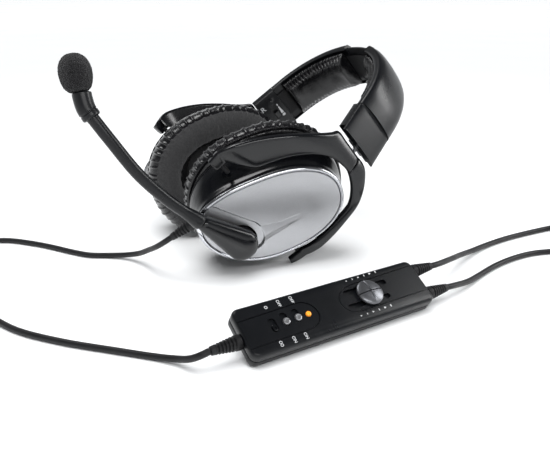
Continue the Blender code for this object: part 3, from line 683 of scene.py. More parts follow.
def pleat_table(count, seed):
    """Folds at uneven shares of the way round, with a height and a lean for each."""
    draw = random.Random(seed)
    table = []
    for i in range(count):
        at = (i + 0.30 * (draw.random() - 0.5)) / count
        height = 0.65 + 0.5 * draw.random()
        table.append((at, height, 0.5 * (draw.random() - 0.5)))
    return table


def pleat(table, share, lean, wide=0.44):
    """The fold at a share of the way round, from 0 between the folds to its full height on its line."""
    count = len(table)
    i = int(share * count)
    most = 0.0
    for k in (i - 1, i, i + 1, i + 2):
        at, height, tilt = table[k % count]
        off = share - at - tilt * lean / count
        off = abs((off + 0.5) % 1.0 - 0.5) * count
        most = max(most, height * (1.0 - smooth(0.0, wide, off)))
    return most


def ring_noise(share, size, height):
    """Noise that closes on itself once round."""
    angle = 2 * math.pi * share
    return noise.noise(Vector((size * math.cos(angle), size * math.sin(angle), height)))


def cushion(side, word):
    """A padded ring: its outer wall and its inner wall are gathered, and its face is a softer cloth."""
    section = curve_through([(d, y, 0.0) for d, y in CUSHION_SECTION], SECTION_STEPS, closed=True)
    table = pleat_table(PLEATS, 11 + side)
    inner_table = pleat_table(INNER_PLEATS, 31 + side)
    total = len(section)
    rings = []
    for k, point in enumerate(section):
        share = k / total
        offset, y = point.x, point.y
        ring = oval(CUSHION_A + offset, CUSHION_B + offset, y, CUSHION_AT, count=AROUND)
        outward = smooth(-15.0, -1.5, offset) * smooth(-28.8, -31.0, y)
        inward = smooth(-20.0, -26.0, offset)
        face = smooth(-43.0, -48.5, y)
        lean = (y + 38.0) / 10.0
        shaped = []
        for i, (x, depth, z) in enumerate(ring):
            around = i / AROUND
            out = Vector((x - CUSHION_AT[0], 0.0, z - CUSHION_AT[1])).normalized()
            ridge = pleat(table, around, lean, RIDGE_WIDE)
            sway = ring_noise(around, 6.0, 0.15 * y + side)
            fine = ring_noise(around, 26.0, 0.08 * offset)
            push = (0.95 * ridge - 0.6 + 0.3 * sway) * outward
            push += 0.9 * pleat(inner_table, around, lean) * inward
            crease = 0.35 * ridge * smooth(-9.0, -4.0, offset)
            shaped.append((x + out.x * push, depth + face * (0.35 * sway + 0.14 * fine - crease),
                           z + out.z * push))
        rings.append(shaped)
    bm = loft(rings, closed=True)
    bm.faces.ensure_lookup_table()
    for index, panel in enumerate(bm.faces):
        panel.material_index = int(FACE_FROM < (index // AROUND) / total < FACE_TO)
    made = add(f"ear_cushion_{word}_cover", bm, ("leather", "face"), CUPS[side], word + "_cup",
               ("ear_cushion_" + word,), side, sharp=80.0)
    piping = [oval(CUSHION_A + d, CUSHION_B + d, y, CUSHION_AT, count=360)
              for d, y in ((-3.2, -29.0), (-1.6, -28.6), (-0.6, -29.4), (-1.4, -30.6), (-3.0, -30.2))]
    add(f"cushion_piping_{word}", loft(piping, closed=True), "leather", CUPS[side], word + "_cup", side=side)


def ear_opening(side, word):
    """The cloth over the speaker, dished a little, with a moulded rim."""
    profile = ((24.4, -28.7), (24.4, -29.4), (24.2, -30.2), (23.0, -30.4), (20.0, -30.0), (12.0, -29.4),
               (4.0, -29.2), (0.6, -29.2))
    rings = [disc(radius, y, SHELL_AT) for radius, y in profile]
    add(f"ear_cloth_{word}", loft(rings), "cloth", CUPS[side], word + "_cup", side=side)


# ---------------------------------------------------------------- ear cups

FINE = 256                             # points round an oval
HUB_WIDE = (-8.0, -27.5, 11.2)         # x, z and radius in the cup's frame
HUB_NARROW = (17.5, -46.0, 5.2)
HUB_OVER = 1.8
HUB_HOLE = 12.4
HUB_FOOT = 10.7
BOOM_SOCKET = 5.8


def plate_ring(grow, y):
    """An oval parallel to the cover plate's edge."""
    return oval(PLATE_A + grow, PLATE_B + grow, y, (0.0, 0.0), PLATE_SKEW, FINE)


def plate_outline(share, y):
    """The cover plate's edge shrunk to a share of its size; the skew goes as the middle does."""
    return oval((PLATE_A - 0.6) * share, (PLATE_B - 0.6) * share, y, (0.0, 0.0),
                PLATE_SKEW * share * share, FINE)


def section_rings(keys, steps):
    """Ovals along a smooth closed section; a key is (a, b, y, x, z, skew)."""
    rings = []
    for i, (a, b, y) in enumerate(curve_through([key[:3] for key in keys], steps, closed=True)):
        before = Vector(keys[i // steps % len(keys)][3:])
        after = Vector(keys[(i // steps + 1) % len(keys)][3:])
        x, z, skew = before.lerp(after, i % steps / steps)
        rings.append(oval(a, b, y, (x, z), skew, FINE))
    return rings


PIN_HOLE = 2.0                         # the radius of the holes for the hinge pins


def hinge_holes(piece, side, runs, place, slant=0.0):
    """Holes on the hinge line between pairs of x; the slant is the place's turn against the yoke's."""
    for low, high in runs:
        rod = turned([(PIN_HOLE, 0.0), (PIN_HOLE, high - low)], 32)
        rod.transform(turn(slant, "Y") @ Matrix.Translation((low, HINGE_Y, HINGE_Z)) @ turn(90.0, "Y"))
        cut(piece, rod, place, side)


def hub_distance(x, z):
    """How far a point lies outside the hub's teardrop, and how much it lies on the upper side."""
    wide, narrow = Vector(HUB_WIDE[:2]), Vector(HUB_NARROW[:2])
    along = narrow - wide
    point = Vector((x, z))
    share = min(max((point - wide).dot(along) / along.length_squared, 0.0), 1.0)
    off = point - (wide + along * share)
    normal = Vector((-along.y, along.x)).normalized()
    upper = off.normalized().dot(normal) if off.length > 0.01 else 0.0
    return off.length - (HUB_WIDE[2] + (HUB_NARROW[2] - HUB_WIDE[2]) * share), upper


def sunken(x, z):
    """Depth of the plate's recess round the hub and of the scoop that runs out of it."""
    away, upper = hub_distance(x, z)
    reach = 1.4 + 5.2 * smooth(-0.25, 0.75, upper)
    deep = 1.9 * (1.0 - smooth(reach - 0.9, reach + 0.2, away))
    if -26.0 < z < 22.0:
        share = smooth(-12.0, 21.0, z)
        low = -19.0 + 11.0 * min(max((z + 15.0) / 33.0, 0.0), 1.0) ** 0.55
        high = -1.2 - 2.4 * min(max((z + 9.0) / 10.0, 0.0), 1.0)
        across = (x - low) / (high - low)
        if 0.0 < across < 1.0:
            scoop = 2.0 * (1.0 - share) * smooth(0.0, 0.30, across) * (0.45 + 0.55 * across)
            deep = max(deep, scoop * (1.0 - smooth(0.90, 1.0, across)))
    return deep


def drop_ring(grow, y, shrink=1.0, count=96):
    """The hub's teardrop outline at a depth, grown outward or shrunk on its middle line."""
    wide, narrow = Vector(HUB_WIDE[:2]), Vector(HUB_NARROW[:2])
    along = narrow - wide
    lean = math.acos((HUB_WIDE[2] - HUB_NARROW[2]) / along.length)
    heading = math.atan2(along.y, along.x)
    points = []
    for centre, radius, start, end, number in (
            (narrow, HUB_NARROW[2], -lean, lean, count // 3),
            (wide, HUB_WIDE[2], lean, 2 * math.pi - lean, count - count // 3)):
        size = max(radius * shrink + grow, 0.02)
        for i in range(number):
            angle = heading + start + (end - start) * i / (number - 1)
            points.append((centre.x + size * math.cos(angle), y, centre.y + size * math.sin(angle)))
    return points


# The shell's wall, round its outside and back along its inside: (a, b, y, x, z, skew) of each oval
SHELL_KEYS = (
    (49.9, 29.3, -3.2, 0.0, 0.0, 8.0), (51.6, 31.2, -3.4, 0.0, 0.0, 8.0),
    (52.3, 32.3, -4.4, 0.1, 0.0, 8.0), (52.7, 33.5, -9.0, 0.6, 0.5, 6.6),
    (53.3, 37.0, -13.8, 2.0, 1.6, 5.0), (54.6, 40.6, -18.0, 2.9, 2.4, 3.4),
    (55.7, 42.5, -22.6, 3.0, 2.5, 2.4), (56.0, 43.0, -24.8, 3.0, 2.5, 2.0),
    (55.6, 42.6, -25.6, 3.0, 2.5, 2.0), (53.6, 40.6, -25.6, 3.0, 2.5, 2.0),
    (52.4, 38.4, -18.6, 3.0, 2.5, 3.0), (50.0, 33.4, -14.4, 2.0, 1.6, 5.0),
    (47.0, 29.0, -6.6, 0.6, 0.5, 6.4))
TRIM_KEYS = ((-0.2, -3.0), (1.7, -3.1), (2.2, -2.6), (2.1, -1.9), (1.5, -1.1), (0.8, -0.7), (0.2, -0.6),
             (-0.2, -0.9))


def ear_cup(side, word):
    """The shell, the polished ring and the cover plate, which on the left leaves room for the hub."""
    body = word + "_cup"
    shell = add(f"cup_shell_{word}_skin", loft(section_rings(SHELL_KEYS, 4), closed=True), "gloss",
                CUPS[side], body, ("cup_shell_" + word,), side, sharp=50.0)
    hinge_holes(shell, side, ((42.5, 53.5), (-48.0, -33.0)), CUPS[side], CUP_SLANT)
    trim = loft([plate_ring(grow, y) for grow, y in TRIM_KEYS], closed=True)
    trim = add(f"trim_ring_{word}_skin", trim, "chrome", CUPS[side], body,
               ("trim_ring_" + word,), side, sharp=60.0)
    rings = [plate_outline(1.0, -3.0), plate_outline(1.0, -1.5), plate_outline(0.995, -1.15)]
    for i in range(65):
        share = 0.985 - 0.965 * i / 64.0
        crowned = plate_outline(share, 1.45 - 2.35 * share ** 2.4)
        if side > 0:
            crowned = [(x, y - sunken(x, z), z) for x, y, z in crowned]
        rings.append(crowned)
    plate = add(f"cover_plate_{word}_skin", loft(rings), "silver", CUPS[side], body,
                ("cover_plate_" + word,), side, sharp=30.0)
    if side > 0:
        for piece in (plate, shell):
            cut(piece, loft([disc(HUB_HOLE, y, HUB_WIDE) for y in (-4.6, 12.0)]), CUPS[1])
        cut(trim, loft([drop_ring(4.0, -2.2), drop_ring(4.0, 12.0)]), CUPS[1])


def hub():
    """The boom's teardrop hub on the left cup, domed, with a socket for the tube."""
    rings = [drop_ring(-0.9, HUB_OVER), drop_ring(-0.3, HUB_OVER + 0.15), drop_ring(0.0, HUB_OVER + 0.8),
             drop_ring(0.0, 3.6)]
    for i in range(16):
        rise = math.radians(90.0 * i / 16.0)
        rings.append(drop_ring(0.0, 5.0 + 6.0 * math.sin(rise) ** 0.85, math.cos(rise) ** 0.85))
    rings.append(drop_ring(0.0, 11.0, 0.02))
    made = add("boom_hub_skin", loft(rings), "gloss", CUPS[1], "boom", ("boom_hub",), sharp=50.0)
    line = curve_through(BOOM_ROUTE, 4)
    start = line[0] - (line[1] - line[0]).normalized() * 0.5
    cut(made, pipe([start, line[1]], [BOOM_SOCKET, BOOM_SOCKET], 48), HEAD)
    foot = loft([disc(HUB_FOOT, y, HUB_WIDE) for y in (-4.0, HUB_OVER + 0.5)])
    add("boom_hub_foot", foot, "matte", CUPS[1], "boom")


BOOM_ROUTE = ((45.0, 66.0, -41.0), (58.5, 65.2, -43.6), (72.0, 64.0, -45.9), (96.0, 61.0, -47.3),
              (123.0, 56.5, -44.4), (138.3, 53.0, -42.3))
MIC_ROUTE = ((139.1, 52.8, -42.2), (145.1, 51.1, -40.9), (150.8, 49.0, -37.6), (153.2, 48.2, -35.8))
FOAM_AT = (162.1, 45.0, -30.6)
TUBE_ROOT_R, TUBE_R, SLEEVE_R = 5.6, 4.0, 5.9


def boom():
    """The tapered tube, which runs on into the sleeve, then the sleeve and the windscreen."""
    line = curve_through(BOOM_ROUTE, 16)
    line.append(line[-1] + (line[-1] - line[-2]).normalized() * 2.0)
    radii = [TUBE_ROOT_R + (TUBE_R - TUBE_ROOT_R) * smooth(0.0, 18.0, i) for i in range(len(line))]
    radii[0] = TUBE_ROOT_R - 0.6
    radii[1] = TUBE_ROOT_R - 0.15
    add("boom_tube_skin", pipe(line, radii, 40), "satin", HEAD, "boom", ("boom_tube",), sharp=50.0)
    line = curve_through(MIC_ROUTE, 14)
    last = len(line) - 1
    radii = []
    for i in range(len(line)):
        round_off = 0.9 * (1.0 - math.sqrt(1.0 - (1.0 - min(i, last - i, 3) / 3.0) ** 2))
        radii.append(SLEEVE_R - round_off)
    for i in (8, 9):
        radii[i] = SLEEVE_R - 0.4
    add("mic_sleeve_skin", pipe(line, radii, 40), "satin", HEAD, "boom", ("mic_sleeve",), sharp=35.0)
    aim = line[-1] - line[-4]
    egg = [(0.3, -10.2), (3.4, -10.2), (5.4, -10.0), (7.0, -8.8), (8.2, -7.2), (9.3, -4.4), (9.9, -1.0),
           (10.0, 1.8), (9.7, 4.6), (8.8, 7.4), (7.2, 10.0), (5.0, 11.8), (2.6, 12.7), (0.3, 12.9)]
    smooth_egg = [(max(p.x, 0.2), p.y) for p in curve_through([(r, z, 0.0) for r, z in egg], 7)]
    bm = turned(smooth_egg, 120)
    for vert in bm.verts:
        deep = noise.noise(vert.co * 1.1) + 0.8 * noise.noise(vert.co * 2.3)
        vert.co += vert.co.normalized() * (0.24 * deep - 0.1)
    frame_turn = aim.to_track_quat("Z", "Y").to_matrix().to_4x4()
    foam = add("windscreen_foam", bm, "foam", HEAD @ shift(*FOAM_AT) @ frame_turn, "boom",
               ("windscreen",), sharp=180.0)


# ---------------------------------------------------------------- yokes

YOKE_STATIONS = (
    ((59.0, -9.0), (50.3, -8.0)), ((60.3, -1.0), (50.0, 0.5)), ((59.5, 8.0), (43.5, 5.8)),
    ((55.0, 19.0), (35.4, 13.0)), ((48.0, 31.0), (31.5, 22.0)), ((39.0, 43.5), (27.5, 31.5)),
    ((29.5, 54.2), (22.5, 39.8)), ((21.0, 62.3), (15.5, 48.5)), ((15.5, 67.8), (9.0, 53.8)),
    ((11.5, 72.2), (2.0, 57.2)), ((3.0, 72.4), (-5.5, 59.0)), ((-10.0, 72.2), (-13.0, 59.8)),
    ((-23.5, 71.8), (-19.5, 58.0)), ((-31.3, 65.0), (-27.0, 53.6)), ((-38.0, 54.0), (-34.0, 46.0)),
    ((-42.6, 39.5), (-36.8, 35.5)), ((-46.4, 22.0), (-39.2, 21.0)), ((-47.5, 5.0), (-40.5, 5.5)),
    ((-47.0, -7.0), (-40.8, -5.5)), ((-45.0, -13.5), (-41.0, -12.5)))
YOKE_THICK = 5.0
YOKE_STEPS = 8
YOKE_SEAM = 91                         # station, counted with the steps between, where its two arms part


def yoke_depth(z):
    """How deep the yoke's outer face lies at a height: it bends in towards the slider and the hinge."""
    to_slider = max(z - 44.0, 0.0)
    to_hinge = max(14.0 - z, 0.0)
    return -3.5 - 0.01215 * to_slider ** 2 - min(0.020 * to_hinge ** 2, 4.5)


def yoke(side, word):
    """A forked yoke: a broad front arm and a slim rear arm that meet at the slider."""
    outer = curve_through([(x, 0.0, z) for (x, z), _ in YOKE_STATIONS], YOKE_STEPS)
    inner = curve_through([(x, 0.0, z) for _, (x, z) in YOKE_STATIONS], YOKE_STEPS)
    half = ((0.0, 0.8 - YOKE_THICK), (0.0, -1.9), (0.015, -1.0), (0.05, -0.4), (0.11, -0.08), (0.2, 0.12),
            (0.35, 0.28), (0.5, 0.34))
    back = ((0.14, -YOKE_THICK), (0.06, 0.15 - YOKE_THICK))
    section = half + tuple((1.0 - share, depth) for share, depth in half[-2::-1] + back[::-1]) + back
    rings = []
    for edge, facing in zip(outer, inner):
        shape = []
        for share, depth in section:
            point = edge.lerp(facing, share)
            point.y = yoke_depth(point.z) + depth
            shape.append(point)
        rings.append(shape)

    def closed_off(part):
        """The same stretch with its two ends drawn in a little."""
        ends = []
        for ring_points, beyond in ((part[0], part[1]), (part[-1], part[-2])):
            middle = sum(ring_points, Vector()) / len(ring_points)
            step = (ring_points[0] - beyond[0]).normalized() * 0.25
            ends.append([middle + (p - middle) * 0.93 + step for p in ring_points])
        return [ends[0]] + part + [ends[1]]

    front = loft(closed_off(rings[:YOKE_SEAM]))
    rear = loft(closed_off(rings[YOKE_SEAM:]))
    made = add(f"yoke_{word}_skin", join(front, rear), "gloss", FORKS[side], word + "_yoke",
               ("yoke_" + word,), side, sharp=45.0)
    hinge_holes(made, side, ((42.0, 60.0), (-53.5, -31.5)), FORKS[side])


# ---------------------------------------------------------------- headband

def sweep(section, start, end, steps, ends=0.25):
    """Sweep a closed section of (x, depth) pairs along the headband, its two ends slightly rounded."""
    stations = [(start, -ends), (start + math.copysign(ends, end - start), 0.0)]
    for i in range(1, steps):
        stations.append((start + (end - start) * i / steps, 0.0))
    stations += [(end - math.copysign(ends, end - start), 0.0), (end, -ends)]
    middle = sum(depth for _, depth in section) / len(section)
    rings = []
    for s, grow in stations:
        place, out = band_point(s)
        shape = []
        for x, depth in section:
            x += math.copysign(grow, x) if abs(x) > 1.0 else 0.0
            depth += math.copysign(grow, depth - middle)
            shape.append((x, place.x - out.x * depth, place.y - out.y * depth))
        rings.append(shape)
    return loft(rings)


def mirrored(half):
    """A closed section from its half with x from 0 to the side, first outer then inner points."""
    return [(x, d) for x, d in half] + [(-x, d) for x, d in reversed(half)]


def headband():
    """The bridge at the crown, and on each side a cover, a pad and a housing."""
    bridge = mirrored([(4.0, 1.85), (11.0, 2.05), (15.8, 2.6), (17.0, 3.1), (17.5, 3.9), (17.3, 4.7),
                       (16.6, 5.0), (8.0, 5.0)])
    reach = BRIDGE_HALF - GAP
    add("headband_bridge_skin", sweep(bridge, -reach, reach, 24), "satin", HEAD, "headband",
        ("headband_bridge",), sharp=40.0)
    for side, word in SIDES:
        cover = mirrored([(3.0, -1.78), (8.0, -1.55), (12.0, -1.1), (14.2, -0.62), (15.4, -0.2), (17.4, 0.8),
                          (18.6, 1.6), (19.0, 2.6), (19.0, 4.4), (18.7, 6.6), (18.2, 7.2), (17.6, 7.0),
                          (17.2, 6.2), (17.0, 5.2), (9.0, 5.0)])
        add(f"outer_cover_{word}_skin", sweep(cover, side * BRIDGE_HALF, side * COVER_END, 90), "satin", HEAD,
            "headband", ("outer_cover_" + word,), sharp=40.0)
        pad_piece(side, word)
        housing(side, word)


def pad_piece(side, word):
    """The padded inner band: a smooth face whose long edges are gathered into pleats."""
    section = curve_through([(x, d, 0.0) for x, d in (
        (0.0, 6.8), (9.0, 6.8), (14.0, 6.9), (16.2, 8.4), (16.6, 10.4), (15.4, 13.0), (12.4, 15.2),
        (8.0, 16.4), (0.0, 16.9), (-8.0, 16.4), (-12.4, 15.2), (-15.4, 13.0), (-16.6, 10.4), (-16.2, 8.4),
        (-14.0, 6.9), (-9.0, 6.8))], 3, closed=True)
    table = pleat_table(19, 51 + side)
    steps = 260
    rings = []
    for i in range(steps + 1):
        share = i / steps
        close = min(share, 1.0 - share) * (PAD_END - PAD_START)
        thin = math.sqrt(1.0 - (1.0 - min(close / 5.0, 1.0)) ** 2)
        place, out = band_point(side * (PAD_START + (PAD_END - PAD_START) * share))
        shape = []
        for point in section:
            x, depth = point.x, point.y
            edge = smooth(10.5, 15.5, abs(x)) * smooth(7.0, 9.0, depth)
            fold = pleat(table, min(share, 0.9999), 0.5) * smooth(0.0, 0.06, min(share, 1.0 - share))
            x -= math.copysign(1.0 * edge * fold, x)
            depth -= 1.5 * edge * fold
            depth = 6.8 + (depth - 6.8) * (0.12 + 0.88 * thin)
            x *= 0.94 + 0.06 * thin
            soft = noise.noise(Vector((x * 0.12, share * 9.0, side)))
            depth += 0.35 * soft * smooth(9.0, 14.0, depth)
            shape.append((x, place.x - out.x * depth, place.y - out.y * depth))
        rings.append(shape)
    made = add(f"inner_pad_{word}_cover", loft(rings), "leather", HEAD, "headband",
               ("inner_pad_" + word,), sharp=80.0)


def housing(side, word):
    """The shells round the slider; the inner one has a slide's pocket, two screws and its printing."""
    start = side * (COVER_END + GAP)
    outer = mirrored([(3.0, 0.02), (8.0, 0.10), (12.0, 0.26), (15.0, 0.5), (16.6, 0.85), (18.2, 1.3),
                      (18.9, 2.0), (19.0, 3.3), (10.0, 3.4)])
    add(f"housing_outer_{word}_skin", sweep(outer, start, side * HOUSING_ENDS[side], 16), "satin", HEAD,
        "headband", ("housing_outer_" + word,), sharp=40.0)
    half = BAND_HALF_WIDTH
    inner = [(half, 3.7), (half, 9.4), (half - 0.3, 10.1), (half - 1.0, 10.5), (0.5, 10.5), (-0.5, 10.5),
             (-half + 1.0, 10.5), (-half + 0.3, 10.1), (-half, 9.4), (-half, 3.7), (-9.5, 3.7), (-9.5, 6.9),
             (9.5, 6.9), (9.5, 3.7)]
    lid = add(f"housing_inner_{word}_skin", sweep(inner, start, side * LID_END, 12, 0.15), "satin", HEAD,
              "headband", ("housing_inner_" + word,), sharp=35.0)
    place = band_frame(114.0, side)
    cut(lid, boxed((-5.0, -12.0, 1.3), (8.2, -8.2, 6.3)), place, side)
    facing_in = turn(90.0 * side, "X")
    reading = facing_in @ turn(90.0 * side, "Z")
    for x, end in ((-13.0, "rear"), (13.0, "front")):
        screw(f"lid_screw_{word}_{end}", place @ shift(x, side * -10.45, 7.0) @ facing_in, "headband")
    write(f"side_letter_{word}", word[0].upper(), 6.6, place @ shift(10.3, side * -10.53, -4.1) @ reading,
          "headband")
    for name, corners in WEDGE_MARKS:
        flat_mark(f"pressure_mark_{name}_{word}", corners, place @ shift(0.5, side * -10.53, 8.3) @ reading,
                  "headband")


MARK_TALL = 0.06
# A thin end and a thick end, printed beside the slide for the headband's pressure
WEDGE_MARKS = (("thin", ((-0.5, 4.6), (0.5, 4.6), (0.5, 6.4), (-0.5, 6.4))),
               ("wedge", ((-0.4, 3.6), (0.4, 3.6), (1.3, -3.4), (-1.3, -3.4))),
               ("thick", ((-1.3, -4.4), (1.3, -4.4), (1.3, -6.6), (-1.3, -6.6))))


def flat_mark(name, corners, place, body):
    add(name, prism(corners, 0.0, MARK_TALL), "print", place, body)


def screw(name, place, body):
    """A countersunk screw with a cross slot, its head up along Z."""
    profile = [(2.6, -0.6), (2.6, 0.02), (2.6, 0.12), (2.35, 0.14), (2.3, -0.15), (2.1, -0.15), (1.9, 0.05),
               (0.9, 0.16), (0.05, 0.18)]
    made = add(name, turned(profile, 40), "gloss", place, body, sharp=25.0)
    for across in ((1.3, 0.28), (0.28, 1.3)):
        cut(made, boxed((-across[0], -across[1], -0.35), (across[0], across[1], 1.0)), place)


def write(name, words, size, place, body):
    """Raised print: the words' own outlines as a thin solid, X along the line."""
    curve = bpy.data.curves.new(name, "FONT")
    curve.body = words
    curve.size = size
    curve.align_x = "CENTER"
    curve.align_y = "CENTER"
    curve.extrude = 0.03
    curve.offset = 0.012 * size
    scratch = place_in_scene(name, curve)
    mesh = evaluated_mesh(scratch)
    bpy.data.objects.remove(scratch, do_unlink=True)
    bpy.data.curves.remove(curve)
    bm = bmesh.new()
    bm.from_mesh(mesh)
    bpy.data.meshes.remove(mesh)
    add(name, bm, "print", place, body)


for SIDE, WORD in SIDES:
    ear_cup(SIDE, WORD)
    cushion(SIDE, WORD)
    ear_opening(SIDE, WORD)
    yoke(SIDE, WORD)
hub()
boom()
headband()


# ---------------------------------------------------------------- control box

PANEL_DEEP = 0.28                      # how far the two panels lie below the box's top
FADER_X, FADER_Y, FADER_APART = 23.0, 17.0, 4.8
FADER_SLOTS = {1: (6.5, 39.5), -1: (4.5, 36.5)}
SWITCHES = (("switch_power", -29.8, 15.5), ("switch_noise", -37.8, 15.3), ("switch_mode", -46.0, 13.9))
LENS_AT = (-22.4, 15.9)
KNOB_R = 8.6
KNOB_SPLIT = 0.28                      # half of the gap between the round control's two halves
LEFT_PANEL = ((-70.0, 23.1), (-60.0, 23.4), (-45.0, 23.9), (-28.0, 24.4), (-22.6, 24.0), (-18.6, 21.4),
              (-16.5, 17.6), (-16.5, 13.2), (-18.6, 9.6), (-22.8, 7.2), (-28.5, 6.5), (-45.0, 6.2),
              (-60.0, 5.9), (-70.0, 5.8))
RIGHT_PANEL = ((70.0, 27.4), (40.0, 26.7), (16.0, 26.0), (9.6, 25.2), (4.6, 22.8), (1.8, 19.4), (1.1, 15.6),
               (2.6, 11.6), (6.0, 8.6), (11.0, 7.7), (16.0, 7.7), (40.0, 7.9), (70.0, 8.1))


def corner_arcs(centres, radius, steps):
    """Round corners, anticlockwise from the one at the upper right."""
    points = []
    for quarter, (cx, cy) in enumerate(centres):
        for x, y in circle(radius, 4 * steps)[:steps + 1]:
            away = Matrix.Rotation(math.radians(90.0 * quarter), 2) @ Vector((x, y))
            points.append((cx + away.x, cy + away.y))
    return points


def plan(inset, z):
    """The box's rounded plan outline at a height, drawn in by the inset."""
    x1, y0, y1 = BOX_LONG / 2 - BOX_CORNER, BOX_CORNER, BOX_WIDE - BOX_CORNER
    corners = corner_arcs(((x1, y1), (-x1, y1), (-x1, y0), (x1, y0)), BOX_CORNER - inset, 10)
    return [(x, y, z) for x, y in corners]


def outline(points, steps=6):
    return [(p.x, p.y) for p in curve_through([(x, y, 0.0) for x, y in points], steps)]


def stroke(points, half, low, high):
    """A band of even width along an open line, as a solid."""
    left, right = [], []
    for i, (x, y) in enumerate(points):
        x0, y0 = points[max(i - 1, 0)]
        x1, y1 = points[min(i + 1, len(points) - 1)]
        away = Vector((y0 - y1, x1 - x0)).normalized() * half
        left.append((x + away.x, y + away.y))
        right.append((x - away.x, y - away.y))
    return prism(left + right[::-1], low, high)


def slot_outline(x0, y0, x1, y1):
    """A round-ended slot's outline between two corners."""
    radius = min(x1 - x0, y1 - y0) / 2
    x0, y0, x1, y1 = x0 + radius, y0 + radius, x1 - radius, y1 - radius
    return corner_arcs(((x1, y1), (x0, y1), (x0, y0), (x1, y0)), radius, 8)


def control_box():
    """The box's two casings, the upper one with two sunken panels and the openings for its controls."""
    top = BOX_TALL
    upper = [plan(0.7, SPLIT + 0.15), plan(0.15, SPLIT + 0.3), plan(0.0, SPLIT + 0.8), plan(0.0, 8.6),
             plan(0.12, 9.4), plan(0.42, 10.05), plan(0.9, 10.55), plan(1.5, 10.88), plan(2.2, top)]
    upper = add("box_upper_skin", loft(upper), "satin", BOX, "left_cup", ("box_upper",), sharp=30.0)
    lower = [plan(1.6, 0.0), plan(0.9, 0.15), plan(0.3, 0.6), plan(0.0, 1.3), plan(0.0, SPLIT - 0.7),
             plan(0.15, SPLIT - 0.3), plan(0.7, SPLIT - 0.15)]
    add("box_lower_skin", loft(lower), "satin", BOX, "left_cup", ("box_lower",), sharp=30.0)
    for panel in (LEFT_PANEL, RIGHT_PANEL):
        edge = outline(panel)
        cut(upper, prism(edge, top - PANEL_DEEP, top + 1.0), BOX)
        cut(upper, stroke(edge, 0.28, top - 0.75, top + 1.0), BOX)
    for side, (x0, x1) in FADER_SLOTS.items():
        y = FADER_Y + side * FADER_APART
        cut(upper, prism(slot_outline(x0, y - 1.7, x1, y + 1.7), top - 2.2, top + 1.0), BOX)
    for _, x, y in SWITCHES:
        cut(upper, prism(slot_outline(x - 2.2, y - 2.7, x + 2.2, y + 6.2), top - 1.6, top + 1.0), BOX)
    hole = [(LENS_AT[0] + x, LENS_AT[1] + y) for x, y in circle(1.9, 32)]
    cut(upper, prism(hole, top - 1.6, top + 1.0), BOX)


def controls():
    """The round control's two halves, the three switches and the lens."""
    top = BOX_TALL - PANEL_DEEP
    for side, word in SIDES:
        knob(side, word)
    for name, x, y in SWITCHES:
        if name == "switch_mode":
            rings = []
            for inset, z in ((0.0, -1.4), (0.0, 0.3), (0.35, 0.6)):
                edge = slot_outline(inset - 1.5, inset - 2.2, 1.5 - inset, 2.2 - inset)
                rings.append([(a, b, z) for a, b in edge])
            cap = add(name + "_cap", loft(rings), "gloss", BOX @ shift(x, y, top), name, (name,), sharp=30.0)
            cut(cap, turned([(0.75, 0.1), (0.75, 2.0)], 24), BOX @ shift(x, y - 0.6, top))
        else:
            cap = turned([(1.9, -1.4), (1.9, -0.2), (2.15, 0.0), (2.15, 1.1), (1.95, 1.4), (1.5, 1.5),
                          (1.3, 1.28), (0.5, 1.2), (0.05, 1.2)], 40)
            add(name + "_cap", cap, "silver", BOX @ shift(x, y, top), name, (name,), sharp=25.0)
    lens = turned([(1.65, -1.2), (1.65, 0.35), (1.5, 0.75), (1.1, 1.0), (0.6, 1.12), (0.05, 1.15)], 32)
    add("power_lens_cap", lens, "amber", BOX @ shift(*LENS_AT, top), "left_cup", ("power_lens",), sharp=40.0)


def knob(side, word):
    """Half a domed round knob with a grip ridge across it."""
    levels = ((0.985, 0.3), (1.0, 0.45), (1.0, 1.5), (0.985, 1.85), (0.94, 2.2), (0.85, 2.55), (0.7, 2.9),
              (0.5, 3.2), (0.28, 3.38), (0.05, 3.45))
    rings = []
    for keep, z in levels:
        half_round = circle(KNOB_R * keep, 96)[:49]
        flatter = (KNOB_R - KNOB_SPLIT) / KNOB_R
        rings.append([(x, side * (KNOB_SPLIT + y * flatter), z) for x, y in half_round])
    dome = loft(rings)
    tall = ((0.9, 0.0), (0.75, 0.35), (0.42, 0.62), (0.12, 0.72))
    ridge = []
    for i in range(17):
        share = i / 16.0
        y = side * (KNOB_SPLIT + 8.1 * share)
        base = 3.42 - 1.75 * share ** 2.2
        drop = 1.0 - smooth(0.9, 1.0, share) * 0.5
        left = [(-wide, y, base + high * drop) for wide, high in tall]
        right = [(wide, y, base + high * drop) for wide, high in reversed(tall)]
        ridge.append([(-0.9, y, base - 1.2)] + left + right + [(0.9, y, base - 1.2)])
    stem = boxed((-2.0, min(side * 3.6, side * 6.0), -2.0), (2.0, max(side * 3.6, side * 6.0), 0.6))
    parts = join(dome, loft(ridge), stem)
    add(f"fader_{word}_knob", parts, "knob", BOX @ shift(FADER_X, FADER_Y, BOX_TALL), "fader_" + word,
        ("fader_" + word,), sharp=35.0)


def open_mark(outer, inner):
    """A printed mark between two outlines."""
    levels = ((outer, 0.0), (outer, MARK_TALL), (inner, MARK_TALL), (inner, 0.0))
    return loft([[(x, y, z) for x, y in edge] for edge, z in levels], closed=True)


